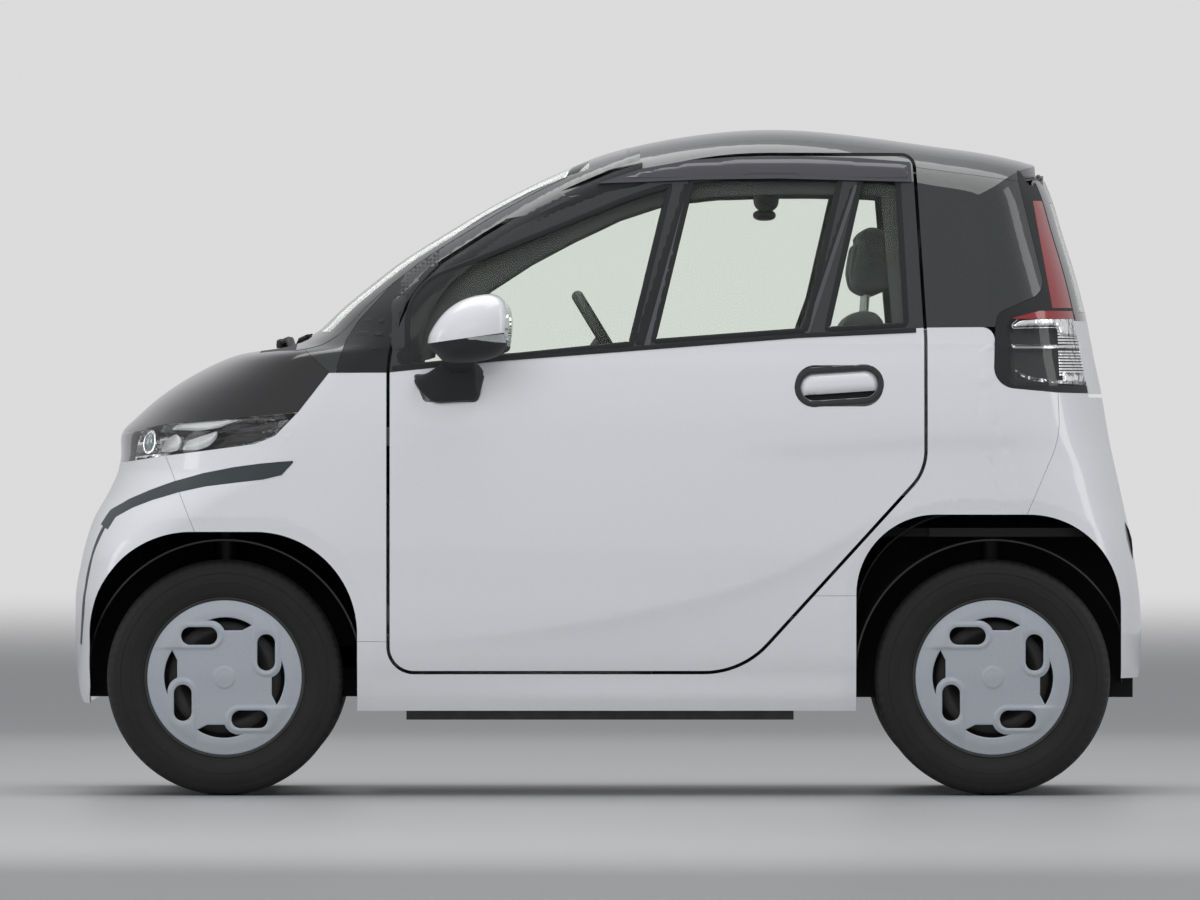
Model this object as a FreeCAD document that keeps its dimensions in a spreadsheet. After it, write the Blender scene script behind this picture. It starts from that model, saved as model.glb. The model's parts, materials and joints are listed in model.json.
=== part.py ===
import FreeCAD, Part
import math
import os
import Sketcher

# Two-seat electric microcar, 2.49 m long, as a parametric document in millimetres.
# X runs from nose to tail, Y to the car's right and Z up. The origin lies on the ground,
# midway between the two axles. The white and dark outer panels are cut from one smooth
# body form, at the seams where the real panels meet.

V = FreeCAD.Vector
doc = FreeCAD.newDocument("microcar")
sheet = doc.addObject("Spreadsheet::Sheet", "Sizes")

SIZES = (
    ("length", 2490, "nose to tail"),
    ("width", 1290, "across the doors, without mirrors"),
    ("height", 1550, "ground to the roof's crown"),
    ("wheelbase", 1780, "axle to axle"),
    ("track", 1100, "between the tyres' middle planes"),
    ("underside", 170, "lowest section of the body form"),
    ("cowl_height", 1046, "foot of the windscreen"),
    ("skin", 25, "depth of an outer panel with its stiffeners"),
    ("door_depth", 60, "doors and tailgate, from outer skin to inner trim"),
    ("door_room", 6, "between a shut door and the cabin's pieces"),
    ("glass", 5, "window glass"),
    ("strip_depth", 6, "accent strip in bumper and fender"),
    ("strip_wide", 37, "accent strip, where it is widest"),
    ("shut_gap", 8, "round doors and tailgate"),
    ("seam", 0.8, "between fixed panels"),
    ("fit", 0.3, "between pieces that are bolted together"),
    ("bond", 0.6, "between outer panels and what is sealed to their inside"),
    ("running", 0.05, "radial clearance of shafts and pins"),
    ("tyre_radius", 273.5, "tyre under load"),
    ("tyre_width", 155, "across the sidewalls"),
    ("rim_radius", 165, "bead seat"),
    ("rim_wall", 7, "rim barrel"),
    ("cap_radius", 179.5, "wheel cap"),
    ("cap_wall", 5, "wheel cap"),
    ("spindle_radius", 14, "stub axle in the wheel hub"),
    ("arch_reach", 311, "axle to the wheel arch's ends"),
    ("front_arch_top", 611, "height of the front arch"),
    ("rear_arch_top", 651, "height of the rear arch"),
    ("liner_radius", 317, "inside of the wheel liners"),
    ("liner_wall", 4, "wheel liners"),
    ("sill_height", 196, "lower edge of the rockers"),
    ("bumper_height", 212, "lower edge of the front bumper"),
    ("tail_height", 271, "lower edge of the rear bumper"),
    ("rocker_top", 357, "seam of rocker and front fender"),
    ("door_bottom", 285, "lower edge of the doors"),
    ("door_top", 1487, "upper edge of the doors"),
    ("door_front", 379, "front axle to the doors' front edge"),
    ("door_rear", 155, "doors' rear edge to the rear axle"),
    ("belt_front", 980, "foot of the side windows, front end"),
    ("belt_rear", 1084, "foot of the side windows, rear end"),
    ("bar_width", 46, "window bars in the doors"),
    ("sash", 44, "window frame beside the glass"),
    ("hinge_setback", 60, "doors' front edge to their hinge line"),
    ("hinge_inset", 18, "hinge line inboard of the body's widest line"),
    ("hinge_tall", 44, "door hinges"),
    ("hinge_pin", 3.5, "radius of the hinge pins"),
    ("tailgate_bottom", 930, "lower edge of the tailgate"),
    ("tailgate_half", 450, "half-width of the tailgate at its foot"),
    ("tailgate_top_half", 385, "half-width of the tailgate at its top"),
    ("grille_half", 330, "half-width of the lower grille"),
    ("plate_holes", 210, "between the number plate's two holes"),
    ("plate_hole_radius", 3, "number plate's holes"),
    ("kingpin_half", 490, "steering axis from the middle"),
    ("kingpin_radius", 10, "kingpins"),
    ("steering_arm", 115, "kingpin to tie-rod end"),
    ("rack_radius", 12, "steering rack"),
    ("floor_height", 258, "underside of the floor pan"),
    ("floor_wall", 20, "floor pan, bulkheads and deck"),
    ("deck_height", 600, "luggage deck over the rear axle"),
    ("battery_length", 900, "battery case"),
    ("battery_width", 960, "battery case"),
    ("battery_depth", 84, "battery case"),
    ("motor_length", 250, "drive unit"),
    ("motor_width", 300, "drive unit"),
    ("motor_depth", 245, "drive unit"),
    ("seat_spacing", 540, "between the seats' middles"),
    ("seat_width", 440, "cushions and backs"),
    ("seat_height", 510, "top of the cushions"),
    ("grip_ring", 172, "steering wheel, to its rim's middle"),
    ("grip_radius", 14, "radius of the steering wheel's rim"),
    ("column_radius", 22, "steering column"),
)
for row, (alias, value, note) in enumerate(SIZES, start=1):
    sheet.set(f"A{row}", alias)
    sheet.set(f"B{row}", str(value))
    sheet.set(f"C{row}", note)
    sheet.setAlias(f"B{row}", alias)
doc.recompute()


class Dimensions:
    """The sheet's values as plain numbers, for curves that are worked out in this file."""

    def __getattr__(self, alias):
        return float(getattr(sheet, alias))


size = Dimensions()
front_end = -size.length / 2
rear_end = size.length / 2
front_axle = -size.wheelbase / 2
rear_axle = size.wheelbase / 2
wheel_y = size.track / 2
WIDE = 900.0

# Body form. Each curve is a list of (level, value). Level 0 is the underside, 1 the cowl
# and 2 the roof. Nose and screen stand back from the front end, tail from the rear end,
# and tuck is how far the side stands in from half the width.
NOSE = ((0, 45), (0.08, 9), (0.18, 0), (0.32, 0), (0.42, 13), (0.525, 37), (0.62, 80), (0.67, 97),
        (0.77, 107), (0.80, 133), (0.86, 193), (0.93, 290), (0.973, 380), (1, 510), (1.194, 638),
        (1.377, 755), (1.526, 873), (1.661, 990), (1.778, 1108), (1.875, 1225), (2.02, 1435))
TAIL = ((0, 50), (0.08, 15), (0.15, 2), (0.23, 0), (0.32, 4), (0.45, 20), (0.61, 48), (0.74, 72), (0.87, 91),
        (1, 114), (1.12, 126), (1.3, 149), (1.53, 185), (1.68, 208), (1.82, 240), (2.02, 290))
TUCK = ((0, 60), (0.08, 35), (0.18, 13), (0.32, 3), (0.47, 0), (0.6, 2), (0.78, 8), (0.93, 21), (1, 31),
        (1.31, 57), (1.6, 85), (1.78, 105), (1.9, 133), (2.02, 190))
FRONT_CORNER = ((0, 120), (0.18, 135), (0.42, 160), (0.525, 240), (0.62, 330), (0.67, 400), (0.77, 440),
                (0.86, 420), (0.93, 360), (0.973, 290), (1, 220), (1.2, 190), (2.02, 170))
FRONT_SQUARE = ((0, 5), (0.42, 5), (0.6, 3.4), (0.77, 2.7), (0.93, 2.8), (1, 3.6), (1.3, 4.5), (2.02, 4.5))
REAR_CORNER = ((0, 130), (0.32, 160), (0.61, 220), (0.87, 260), (1.1, 250), (1.53, 220), (2.02, 190))
REAR_SQUARE = ((0, 5), (0.42, 5), (0.87, 3.6), (2.02, 3.6))
LEVELS = (0, 0.03, 0.08, 0.13, 0.18, 0.25, 0.32, 0.37, 0.42, 0.47, 0.525, 0.57, 0.62, 0.67, 0.72, 0.77,
          0.80, 0.815, 0.83, 0.86, 0.895, 0.93, 0.955, 0.975, 1, 1.015, 1.04, 1.08, 1.14, 1.2, 1.29, 1.38,
          1.46, 1.53, 1.6, 1.67, 1.74, 1.8, 1.87, 1.94, 2.02)
NOSE_BEND = 2.3

# Roof along the middle: distance back from the front end, and drop below the height.
ROOF = ((800, 230), (945, 178), (1108, 108), (1225, 62), (1342, 31), (1495, 7), (1600, 0), (1700, 2),
        (1855, 18), (2000, 38), (2150, 60), (2250, 86), (2600, 210))
ROOF_HALF = 500.0
ROOF_CROWN = 20.0
ROOF_SHOULDER = 34.0

# Wheel arch corner radii: front, then rear ahead of and behind the wheel. These corners may
# take up the whole of the straight side next to them.
ARCH_CORNERS = (236, 254, 216)


def smooth(stations, place):
    """Monotone cubic curve through (place, value) stations, held level past its ends."""
    if place <= stations[0][0]:
        return stations[0][1]
    if place >= stations[-1][0]:
        return stations[-1][1]
    slopes = [(b[1] - a[1]) / (b[0] - a[0]) for a, b in zip(stations, stations[1:])]
    tangents = [slopes[0]]
    for left, right in zip(slopes, slopes[1:]):
        tangents.append(0.0 if left * right <= 0 else 2 * left * right / (left + right))
    tangents.append(slopes[-1])
    k = max(i for i in range(len(slopes)) if stations[i][0] <= place)
    (start, low), (stop, high) = stations[k], stations[k + 1]
    span = stop - start
    part = (place - start) / span
    return (low * (1 + 2 * part) * (1 - part) ** 2 + span * tangents[k] * part * (1 - part) ** 2
            + high * part * part * (3 - 2 * part) + span * tangents[k + 1] * part * part * (part - 1))


def height_at(level):
    """Height of a level above the ground."""
    if level <= 1:
        return size.underside + level * (size.cowl_height - size.underside)
    return size.cowl_height + (level - 1) * (size.height - size.cowl_height)


def level_at(z):
    """Level of a height, the inverse of height_at."""
    if z <= size.cowl_height:
        return (z - size.underside) / (size.cowl_height - size.underside)
    return 1 + (z - size.cowl_height) / (size.height - size.cowl_height)


def nose_at(z, inset=0.0):
    """X of the body form's front, on the middle line."""
    return front_end + smooth(NOSE, level_at(z + inset)) + inset


def tail_at(z, inset=0.0):
    """X of the body form's rear, on the middle line."""
    return rear_end - smooth(TAIL, level_at(z + inset)) - inset


def side_at(z, inset=0.0):
    """Half-width of the body form where its sides run straight."""
    return size.width / 2 - smooth(TUCK, level_at(z + inset)) - inset


def half_at(x, z):
    """Half-width of the body form's front corner at x, the place where its skin lies."""
    level = level_at(z)
    corner = smooth(FRONT_CORNER, level)
    share = max(0.0, 1 - (x - nose_at(z)) / corner)
    return side_at(z) * max(0.0, 1 - share ** NOSE_BEND) ** (1 / smooth(FRONT_SQUARE, level))


def side_line(level, inset):
    """Left half of one level section, as dense points from nose to tail."""
    z = height_at(level)
    nose = front_end + smooth(NOSE, level) + inset
    tail = rear_end - smooth(TAIL, level) - inset
    half = size.width / 2 - smooth(TUCK, level) - inset
    front, rear = smooth(FRONT_CORNER, level), smooth(REAR_CORNER, level)
    front_power, rear_power = 2 / smooth(FRONT_SQUARE, level), 2 / smooth(REAR_SQUARE, level)
    steps = 90
    points = []
    for i in range(steps + 1):
        turn = math.pi / 2 * (1 - (i / steps) ** 2)
        points.append(V(nose + front * (1 - math.sin(turn) ** (2 / NOSE_BEND)),
                        -half * math.cos(turn) ** front_power, z))
    for i in range(steps + 1):
        turn = math.pi / 2 * (1 - (1 - i / steps) ** 2)
        points.append(V(tail - rear * (1 - math.sin(turn) ** (2 / NOSE_BEND)),
                        -half * math.cos(turn) ** rear_power, z))
    return points


def spread(points, count):
    """Points along a line, closer together where it bends."""
    lengths = [0.0]
    turns = [0.0]
    for i in range(1, len(points)):
        step = points[i] - points[i - 1]
        lengths.append(lengths[-1] + step.Length)
        bend = 0.0
        if i > 1:
            last = points[i - 1] - points[i - 2]
            bend = last.getAngle(step) if last.Length > 1e-6 and step.Length > 1e-6 else 0.0
        turns.append(turns[-1] + bend)
    marks = [a / lengths[-1] + b / turns[-1] for a, b in zip(lengths, turns)]
    chosen = []
    for i in range(count + 1):
        goal = 2.0 * i / count
        k = min(len(marks) - 2, max(j for j in range(len(marks)) if marks[j] <= goal + 1e-9))
        share = (goal - marks[k]) / max(1e-9, marks[k + 1] - marks[k])
        chosen.append(points[k] + (points[k + 1] - points[k]) * min(1.0, share))
    return chosen


def chord_marks(lines):
    """Parameters shared by lines of points, from their average chord lengths."""
    marks = [0.0]
    totals = [sum((b - a).Length for a, b in zip(line, line[1:])) for line in lines]
    for i in range(1, len(lines[0])):
        step = sum((line[i] - line[i - 1]).Length / total for line, total in zip(lines, totals)) / len(lines)
        marks.append(marks[-1] + step)
    return [mark / marks[-1] for mark in marks]


def smooth_surface(rows, skipped, **ends):
    """Bicubic surface through a net of points. The skipped outer columns don't count for its parameters."""
    along = chord_marks(rows)
    columns = [list(column) for column in zip(*rows)]
    across = chord_marks(columns[skipped:len(columns) - skipped])
    row_poles = []
    for row in rows:
        curve = Part.BSplineCurve()
        curve.interpolate(Points=row, Parameters=along, **ends)
        row_poles.append(curve.getPoles())
    poles = []
    for column in zip(*row_poles):
        rise = Part.BSplineCurve()
        rise.interpolate(Points=list(column), Parameters=across)
        poles.append(rise.getPoles())
    surface = Part.BSplineSurface()
    surface.buildFromPolesMultsKnots(poles, curve.getMultiplicities(), rise.getMultiplicities(),
                                     curve.getKnots(), rise.getKnots(), False, False, curve.Degree,
                                     rise.Degree)
    return surface


def side_surface(inset):
    """Surface through the left halves of all level sections."""
    lowest = level_at(size.underside + inset + 2 * min(1, inset))
    levels = [lowest] + [level for level in LEVELS if level > lowest + 0.015]
    rows = [spread(side_line(level, inset), 26) for level in levels]
    for row in rows:
        row[0].y = row[-1].y = 0.0
    return smooth_surface(rows, 2, InitialTangent=V(0, -1, 0), FinalTangent=V(0, 1, 0))


def roof_cutter(drop):
    """Everything above the roof, whose surface is lowered by drop."""
    rows = []
    stops = [front_end + 800 + 100 * i for i in range(20)]
    for x in stops:
        fade = min(1.0, max(0.0, (x - stops[0]) / 500))
        middle = size.height - smooth(ROOF, x - front_end) - drop
        row = []
        for j in range(-8, 9):
            across = 700 * j / 8
            share = abs(across) / ROOF_HALF
            fall = ROOF_CROWN * share ** 2 + ROOF_SHOULDER * min(share, 1.25) ** 8
            row.append(V(x, across, middle - fade * fall))
        rows.append(row)
    return smooth_surface(rows, 1).toShape().extrude(V(0, 0, 400))


def body_form(inset):
    """Solid inside the body form, inset on every side and from above."""
    surface = side_surface(inset)
    left = surface.toShape()
    faces = [left, mirrored(left)]
    for rim in (surface.vIso(surface.bounds()[2]), surface.vIso(surface.bounds()[3])):
        edge = rim.toShape()
        faces.append(Part.Face(Part.Wire([edge, mirrored(edge)])))
    shell = Part.Shell(faces)
    shell.sewShape()
    solid = Part.makeSolid(shell)
    solid.translate(V(0, 0, -inset))
    return solid.cut(roof_cutter(inset)).Solids[0]


def hollow(outside, inside):
    """Solid wall between two closed forms, one wholly inside the other."""
    void = inside.Shells[0].copy()
    void.reverse()
    return Part.makeSolid(Part.makeCompound([outside.Shells[0], void]))


def outline(corners):
    """Closed wire through (across, up, radius) corners, rounded where a radius is given."""
    count = len(corners)
    points = [V(a, 0, b) for a, b, radius in corners]
    starts, ends, middles = [], [], []
    for i in range(count):
        here = points[i]
        before = points[i - 1] - here
        after = points[(i + 1) % count] - here
        radius = corners[i][2]
        if radius <= 0:
            starts.append(here)
            ends.append(here)
            middles.append(None)
            continue
        half = before.getAngle(after) / 2
        share = 0.98 if radius in ARCH_CORNERS else 0.49
        reach = min(radius / math.tan(half), share * before.Length, share * after.Length)
        true_radius = reach * math.tan(half)
        before.normalize()
        after.normalize()
        towards = before + after
        towards.normalize()
        starts.append(here + before * reach)
        ends.append(here + after * reach)
        middles.append(here + towards * (true_radius / math.sin(half) - true_radius))
    edges = []
    for i in range(count):
        if middles[i]:
            edges.append(Part.Arc(starts[i], middles[i], ends[i]).toShape())
        gap = starts[(i + 1) % count] - ends[i]
        if gap.Length > 1e-6:
            edges.append(Part.makeLine(ends[i], starts[(i + 1) % count]))
    return Part.Wire(edges)


def side_prism(corners, near=-WIDE, far=WIDE, grow=0.0):
    """Prism across the car from a side-view outline, grown or shrunk by an even margin."""
    wire = outline(corners)
    if grow:
        wire = wire.makeOffset2D(grow)
    face = Part.Face(wire)
    face.translate(V(0, near, 0))
    return face.extrude(V(0, far - near, 0))


def plan_prism(points, low=0.0, high=1800.0):
    """Upright prism from an outline seen from above."""
    corners = [V(x, y, low) for x, y in points]
    return Part.Face(Part.makePolygon(corners + [corners[0]])).extrude(V(0, 0, high - low))


def rear_prism(points, start, stop):
    """Prism along the car from an outline seen from behind, as (y, z) points."""
    corners = [V(start, y, z) for y, z in points]
    return Part.Face(Part.makePolygon(corners + [corners[0]])).extrude(V(stop - start, 0, 0))


def block(x0, x1, y0, y1, z0, z1):
    """Box between two corners."""
    return Part.makeBox(x1 - x0, y1 - y0, z1 - z0, V(x0, y0, z0))


def mirrored(shape):
    """The same shape on the car's other side."""
    return shape.mirror(V(0, 0, 0), V(0, 1, 0))


def joined(shapes):
    """One shape from pieces that touch or overlap."""
    result = shapes[0].multiFuse(shapes[1:]) if len(shapes) > 1 else shapes[0]
    return result.removeSplitter()


def rod(start, stop, radius):
    """Round rod between two points."""
    along = stop - start
    return Part.makeCylinder(radius, along.Length, start, along)


PARTS = []


def keep(name, shape):
    """Store a worked-out shape as the sub-part of that name."""
    item = doc.addObject("Part::Feature", name)
    item.Label = name
    item.Shape = shape
    item.Placement = FreeCAD.Placement()
    PARTS.append(item)
    return item


# Forms that several panels share
outer = body_form(0)
under_glass = body_form(size.glass)
under_skin = body_form(size.skin)
inner_room = body_form(size.skin + size.bond)
under_door = body_form(size.door_depth)
under_strip = body_form(size.strip_depth)
strip_floor = body_form(size.strip_depth + size.fit)
cabin_room = body_form(size.door_depth + size.door_room)

skins = hollow(outer, under_skin)
glazing = hollow(outer, under_glass)
thick_skins = hollow(outer, under_door)
left_side = block(front_end - 60, rear_end + 60, -WIDE, -150, size.underside + 10, 1900)
left_skins = skins.common(left_side)
left_thick = thick_skins.common(left_side)

# Side-view seams
door_x0 = front_axle + size.door_front
door_x1 = rear_axle - size.door_rear
arch_front_x0 = front_axle - size.arch_reach - 3
arch_front_x1 = front_axle + size.arch_reach - 4
arch_rear_x0 = rear_axle - size.arch_reach - 5
arch_rear_x1 = rear_axle + size.arch_reach - 13
FAR_FRONT = front_end - 60
FAR_REAR = rear_end + 60
SKY = size.height + 60

DOOR = (
    (door_x0, size.door_bottom, 60),
    (door_x0 + 820, size.door_bottom, 200),
    (door_x1, size.door_bottom + 468, 120),
    (door_x1, size.belt_rear - 24, 300),
    (door_x1 - 27, size.door_top, 30),
    (door_x0 + 671, size.door_top, 1000),
    (door_x0, size.door_top - 297, 340),
)
BELT = (
    (door_x0 - 60, size.belt_front - 5),
    (door_x0, size.belt_front),
    (door_x0 + 607, size.belt_front + 62),
    (door_x0 + 930, size.belt_front + 86),
    (door_x1, size.belt_rear),
    (door_x1 + 60, size.belt_rear + 2),
)


def belt_at(x):
    """Height of the belt line at x."""
    for (x0, z0), (x1, z1) in zip(BELT, BELT[1:]):
        if x <= x1 or (x1, z1) == BELT[-1]:
            return z0 + (z1 - z0) * (x - x0) / (x1 - x0)


def above_belt(rise):
    """Side-view region above the belt line."""
    line = [(x, z + rise, 0) for x, z in BELT]
    return side_prism(line + [(line[-1][0], SKY, 0), (line[0][0], SKY, 0)])


nose_seam = (front_axle - 138, size.underside + 617)
nose_foot = (front_axle - 69, size.front_arch_top)
lamp_tip = (front_axle + 170, size.underside + 718)
lamp_brow = ((front_axle - 150, size.underside + 688), (front_axle - 233, size.underside + 669))
lamp_lip = ((front_axle + 70, size.underside + 645), (front_axle + 117, size.underside + 664))
fender_peak = (front_axle + 242, size.belt_front)
cowl_edge = (front_axle + 158, size.cowl_height + 14)
vent_edge = ((front_axle + 281, size.belt_front + 76), (front_axle + 309, size.belt_front + 120))
quarter_seam = (rear_axle + 156, size.rear_arch_top + 179)
lamp_foot = (rear_axle + 152, size.tailgate_bottom + 4)
lamp_heel = (rear_axle + 2, size.tailgate_bottom + 18)
lamp_shoulder = (rear_axle + 6, size.belt_rear + 2)
pillar_edge = ((rear_axle + 12, size.belt_rear + 34), (rear_axle + 124, size.belt_rear + 84))
pillar_top = (rear_axle + 62, size.height - 125)
rail_foot = (door_x1 - 60, size.height - 88)

BUMPER = (
    (FAR_FRONT, size.bumper_height, 0),
    (FAR_FRONT, size.underside + 571, 0),
    (front_axle - 236, size.underside + 602, 0),
    (*nose_seam, 0),
    (*nose_foot, 0),
    (arch_front_x0, size.front_arch_top, ARCH_CORNERS[0]),
    (arch_front_x0, size.bumper_height, 0),
)
LAMP_BAND = (
    (FAR_FRONT, size.underside + 571, 0),
    (front_axle - 236, size.underside + 602, 0),
    (*nose_seam, 0),
    (*lamp_lip[0], 60),
    (*lamp_lip[1], 20),
    (*lamp_tip, 4),
    (*lamp_brow[0], 40),
    (*lamp_brow[1], 40),
    (FAR_FRONT, size.underside + 667, 0),
)
BONNET = (
    (FAR_FRONT, size.underside + 667, 0),
    (*lamp_brow[1], 40),
    (*lamp_brow[0], 40),
    (*lamp_tip, 20),
    (*fender_peak, 0),
    (*cowl_edge, 0),
    (FAR_FRONT, size.cowl_height + 14, 0),
)
FENDER = (
    (*nose_seam, 0),
    (*lamp_lip[0], 60),
    (*lamp_lip[1], 20),
    (*lamp_tip, 20),
    (*fender_peak, 0),
    (door_x0 + 100, size.belt_front, 0),
    (door_x0 + 100, size.rocker_top, 0),
    (arch_front_x1, size.rocker_top, 0),
    (arch_front_x1, size.front_arch_top, ARCH_CORNERS[0]),
    (*nose_foot, 0),
)
ROCKER = (
    (arch_front_x1, size.sill_height, 0),
    (arch_front_x1, size.rocker_top, 0),
    (door_x0 + 100, size.rocker_top, 0),
    (door_x1 - 300, size.rocker_top + 106, 0),
    (arch_rear_x0, size.rocker_top + 106, 0),
    (arch_rear_x0, size.sill_height, 0),
)
QUARTER = (
    (door_x1 - 295, size.rocker_top + 106, 0),
    (arch_rear_x0, size.rocker_top + 106, 0),
    (arch_rear_x0, size.rear_arch_top, ARCH_CORNERS[1]),
    (rear_axle + 79, size.rear_arch_top, 0),
    (*quarter_seam, 200),
    (*lamp_foot, 0),
    (*lamp_heel, 50),
    (*lamp_shoulder, 30),
    (door_x1 - 45, size.belt_rear, 0),
    (door_x1 - 45, size.rear_arch_top + 110, 0),
)
REAR_BUMPER = (
    (rear_axle + 79, size.rear_arch_top, 0),
    (arch_rear_x1, size.rear_arch_top, ARCH_CORNERS[2]),
    (arch_rear_x1, size.tail_height, 0),
    (FAR_REAR, size.tail_height, 0),
    (FAR_REAR, size.tailgate_bottom - 3, 0),
    (*lamp_foot, 0),
    (*quarter_seam, 200),
)
LAMP_PILLAR = (
    (*lamp_foot, 0),
    (*lamp_heel, 50),
    (*lamp_shoulder, 30),
    (*pillar_edge[0], 25),
    (*pillar_edge[1], 40),
    (*pillar_top, 60),
    (rear_axle + 46, SKY, 0),
    (FAR_REAR, SKY, 0),
    (FAR_REAR, size.tailgate_bottom - 3, 0),
)
UPPER_QUARTER = (
    (door_x1 - 45, size.belt_rear, 0),
    (*lamp_shoulder, 0),
    (*pillar_edge[0], 25),
    (*pillar_edge[1], 40),
    (*pillar_top, 0),
    (*rail_foot, 0),
)
VENT = (
    (front_axle + 256, size.belt_front, 0),
    (*vent_edge[0], 60),
    (*vent_edge[1], 60),
    (front_axle + 500, size.belt_front + 330, 0),
    (front_axle + 480, size.belt_front, 0),
)
RAIL = (
    (*fender_peak, 0),
    (front_axle + 256, size.belt_front, 0),
    (*vent_edge[0], 60),
    (*vent_edge[1], 60),
    (front_axle + 500, size.belt_front + 330, 0),
    (door_x0 + 671, size.door_top - 80, 0),
    (door_x1 - 60, size.door_top - 80, 0),
    (*rail_foot, 0),
    (*pillar_top, 0),
    (rear_axle + 46, SKY, 0),
    (front_axle + 300, SKY, 0),
    (*cowl_edge, 0),
)

# Splits seen from above, between windscreen, cowl, roof panel and side rails
screen_foot = front_axle + 165
header = front_axle + 935
roof_back = rear_axle + 104
tail_hinge_x = roof_back + 8
tail_hinge_z = size.height - 114
screen_half = size.width / 2 - 105
header_half = size.width / 2 - 195
roof_half = size.width / 2 - 205
cowl_front = screen_foot - 85


def middle_strip(margin):
    """Region of windscreen and roof seen from above, wider by the margin."""
    near = [(cowl_front - 60, screen_half + margin), (screen_foot, screen_half + margin),
            (header, header_half + margin), (FAR_REAR, roof_half + margin)]
    return plan_prism(near + [(x, -y) for x, y in reversed(near)])


def cowl_region(margin):
    """Region of the cowl panel seen from above, wider by the margin."""
    near = [(cowl_front - margin, screen_half - 120 + margin),
            (screen_foot - size.fit, screen_half - size.fit + margin)]
    return plan_prism(near + [(x, -y) for x, y in reversed(near)], size.belt_front)


def tailgate_region(margin):
    """Region of the tailgate seen from behind, wider by the margin."""
    low = size.tailgate_bottom - margin
    high = size.height - 122 + margin
    foot = size.tailgate_half + margin
    top = size.tailgate_top_half + margin
    return rear_prism([(-foot, low), (foot, low), (top, high), (-top, high)], rear_axle - 60, FAR_REAR)


grille_low = size.bumper_height + 40
grille_high = size.bumper_height + 330


def grille_region(margin):
    """Region of the lower front grille seen from the front, wider by the margin."""
    half = size.grille_half + margin
    low = grille_low - margin
    high = grille_high + margin
    points = [(-half + 60, low), (half - 60, low), (half, high), (-half, high)]
    return rear_prism(points, FAR_FRONT, front_axle - 150)


half_seam = size.seam / 2
door_shut = side_prism(DOOR, grow=size.shut_gap / 2)


def region(corners, cuts=()):
    """Side-view region of a panel, half a seam in from its edges and less the cuts."""
    solid = side_prism(corners, grow=-half_seam)
    return solid.cut(list(cuts)) if cuts else solid


def pair(shape):
    """A left-hand shape with its twin on the right, as solids that don't touch."""
    return Part.makeCompound(shape.Solids + mirrored(shape).Solids)


# Dark accent strip let into bumper and fender
STRIP = (
    (front_axle + 159, size.underside + 604, 0.1),
    (front_axle + 128, size.underside + 588, 0.85),
    (front_axle + 87, size.underside + 581, 1.0),
    (front_axle + 24, size.underside + 573, 0.97),
    (front_axle - 46, size.underside + 562, 0.85),
    (front_axle - 111, size.underside + 546, 0.72),
    (front_axle - 173, size.underside + 526, 0.63),
    (front_axle - 219, size.underside + 507, 0.60),
    (front_axle - 261, size.underside + 483, 0.58),
    (front_axle - 282, size.underside + 452, 0.55),
    (front_axle - 299, size.underside + 415, 0.55),
    (front_axle - 312, size.underside + 375, 0.52),
    (front_axle - 324, size.underside + 310, 0.52),
    (front_axle - 331, size.underside + 250, 0.50),
    (front_axle - 336, size.underside + 180, 0.50),
)
STRIP_TURN = 8


def band(points, margin):
    """Outline of a band along a line of points, each with its share of the widest width, and a margin."""
    upper, lower = [], []
    for i, (across, up, share) in enumerate(points):
        ahead = V(*points[min(i + 1, len(points) - 1)][:2], 0) - V(*points[max(i - 1, 0)][:2], 0)
        ahead.normalize()
        half = margin + share * size.strip_wide / 2
        upper.append((across + ahead.y * half, up - ahead.x * half))
        lower.append((across - ahead.y * half, up + ahead.x * half))
    return upper + lower[::-1]


def strip_region(margin):
    """Region of the left accent strip, wider by the margin: along the side, then down the front."""
    side = side_prism([(x, z, 0) for x, z in band(STRIP[:STRIP_TURN + 2], margin)], -WIDE, -300)
    front = [(-half_at(x, z), z, share) for x, z, share in STRIP[STRIP_TURN:]]
    return joined([side, rear_prism(band(front, margin), FAR_FRONT, STRIP[STRIP_TURN][0] + 20)])


groove = strip_region(size.fit).cut(strip_floor)
grooves = [groove, mirrored(groove)]
grille_cut = grille_region(size.fit)
strip_skin = hollow(outer, under_strip).common(left_side)
keep("accent_strips", pair(strip_skin.common(strip_region(0)).cut(grille_cut)))

# Fixed outer panels
keep("front_bumper", skins.common(region(BUMPER, [grille_cut])).cut(grooves))
keep("front_fenders", pair(left_skins.common(region(FENDER, [door_shut])).cut(groove)))
keep("rockers", pair(left_skins.common(region(ROCKER, [door_shut]))))
keep("rear_quarters", pair(left_skins.common(region(QUARTER, [door_shut]))))
keep("upper_quarters", pair(left_skins.common(region(UPPER_QUARTER, [door_shut, middle_strip(size.seam)]))))
keep("vent_panels", pair(left_skins.common(region(VENT, [door_shut, middle_strip(size.seam)]))))
keep("side_rails", pair(left_skins.common(
    region(RAIL, [door_shut, middle_strip(size.fit), tailgate_region(size.shut_gap)]))))
keep("bonnet", skins.common(region(BONNET, [cowl_region(size.seam), middle_strip(size.seam).common(
    block(screen_foot, FAR_REAR, -WIDE, WIDE, 0, SKY))])))

# Lamp band: dark garnish in the middle and a headlamp at each end
lamp_inner = size.width / 2 - 395
lamp_flare = 160.0


def nose_strip(margin):
    """Middle part of the lamp band seen from above, wider by the margin."""
    near = [(FAR_FRONT, lamp_inner + margin), (front_axle, lamp_inner + lamp_flare + margin)]
    return plan_prism(near + [(x, -y) for x, y in reversed(near)])


keep("nose_garnish", skins.common(region(LAMP_BAND).common(nose_strip(0))))
keep("headlamps", pair(left_skins.common(region(LAMP_BAND).cut(nose_strip(size.fit)))))

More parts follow.
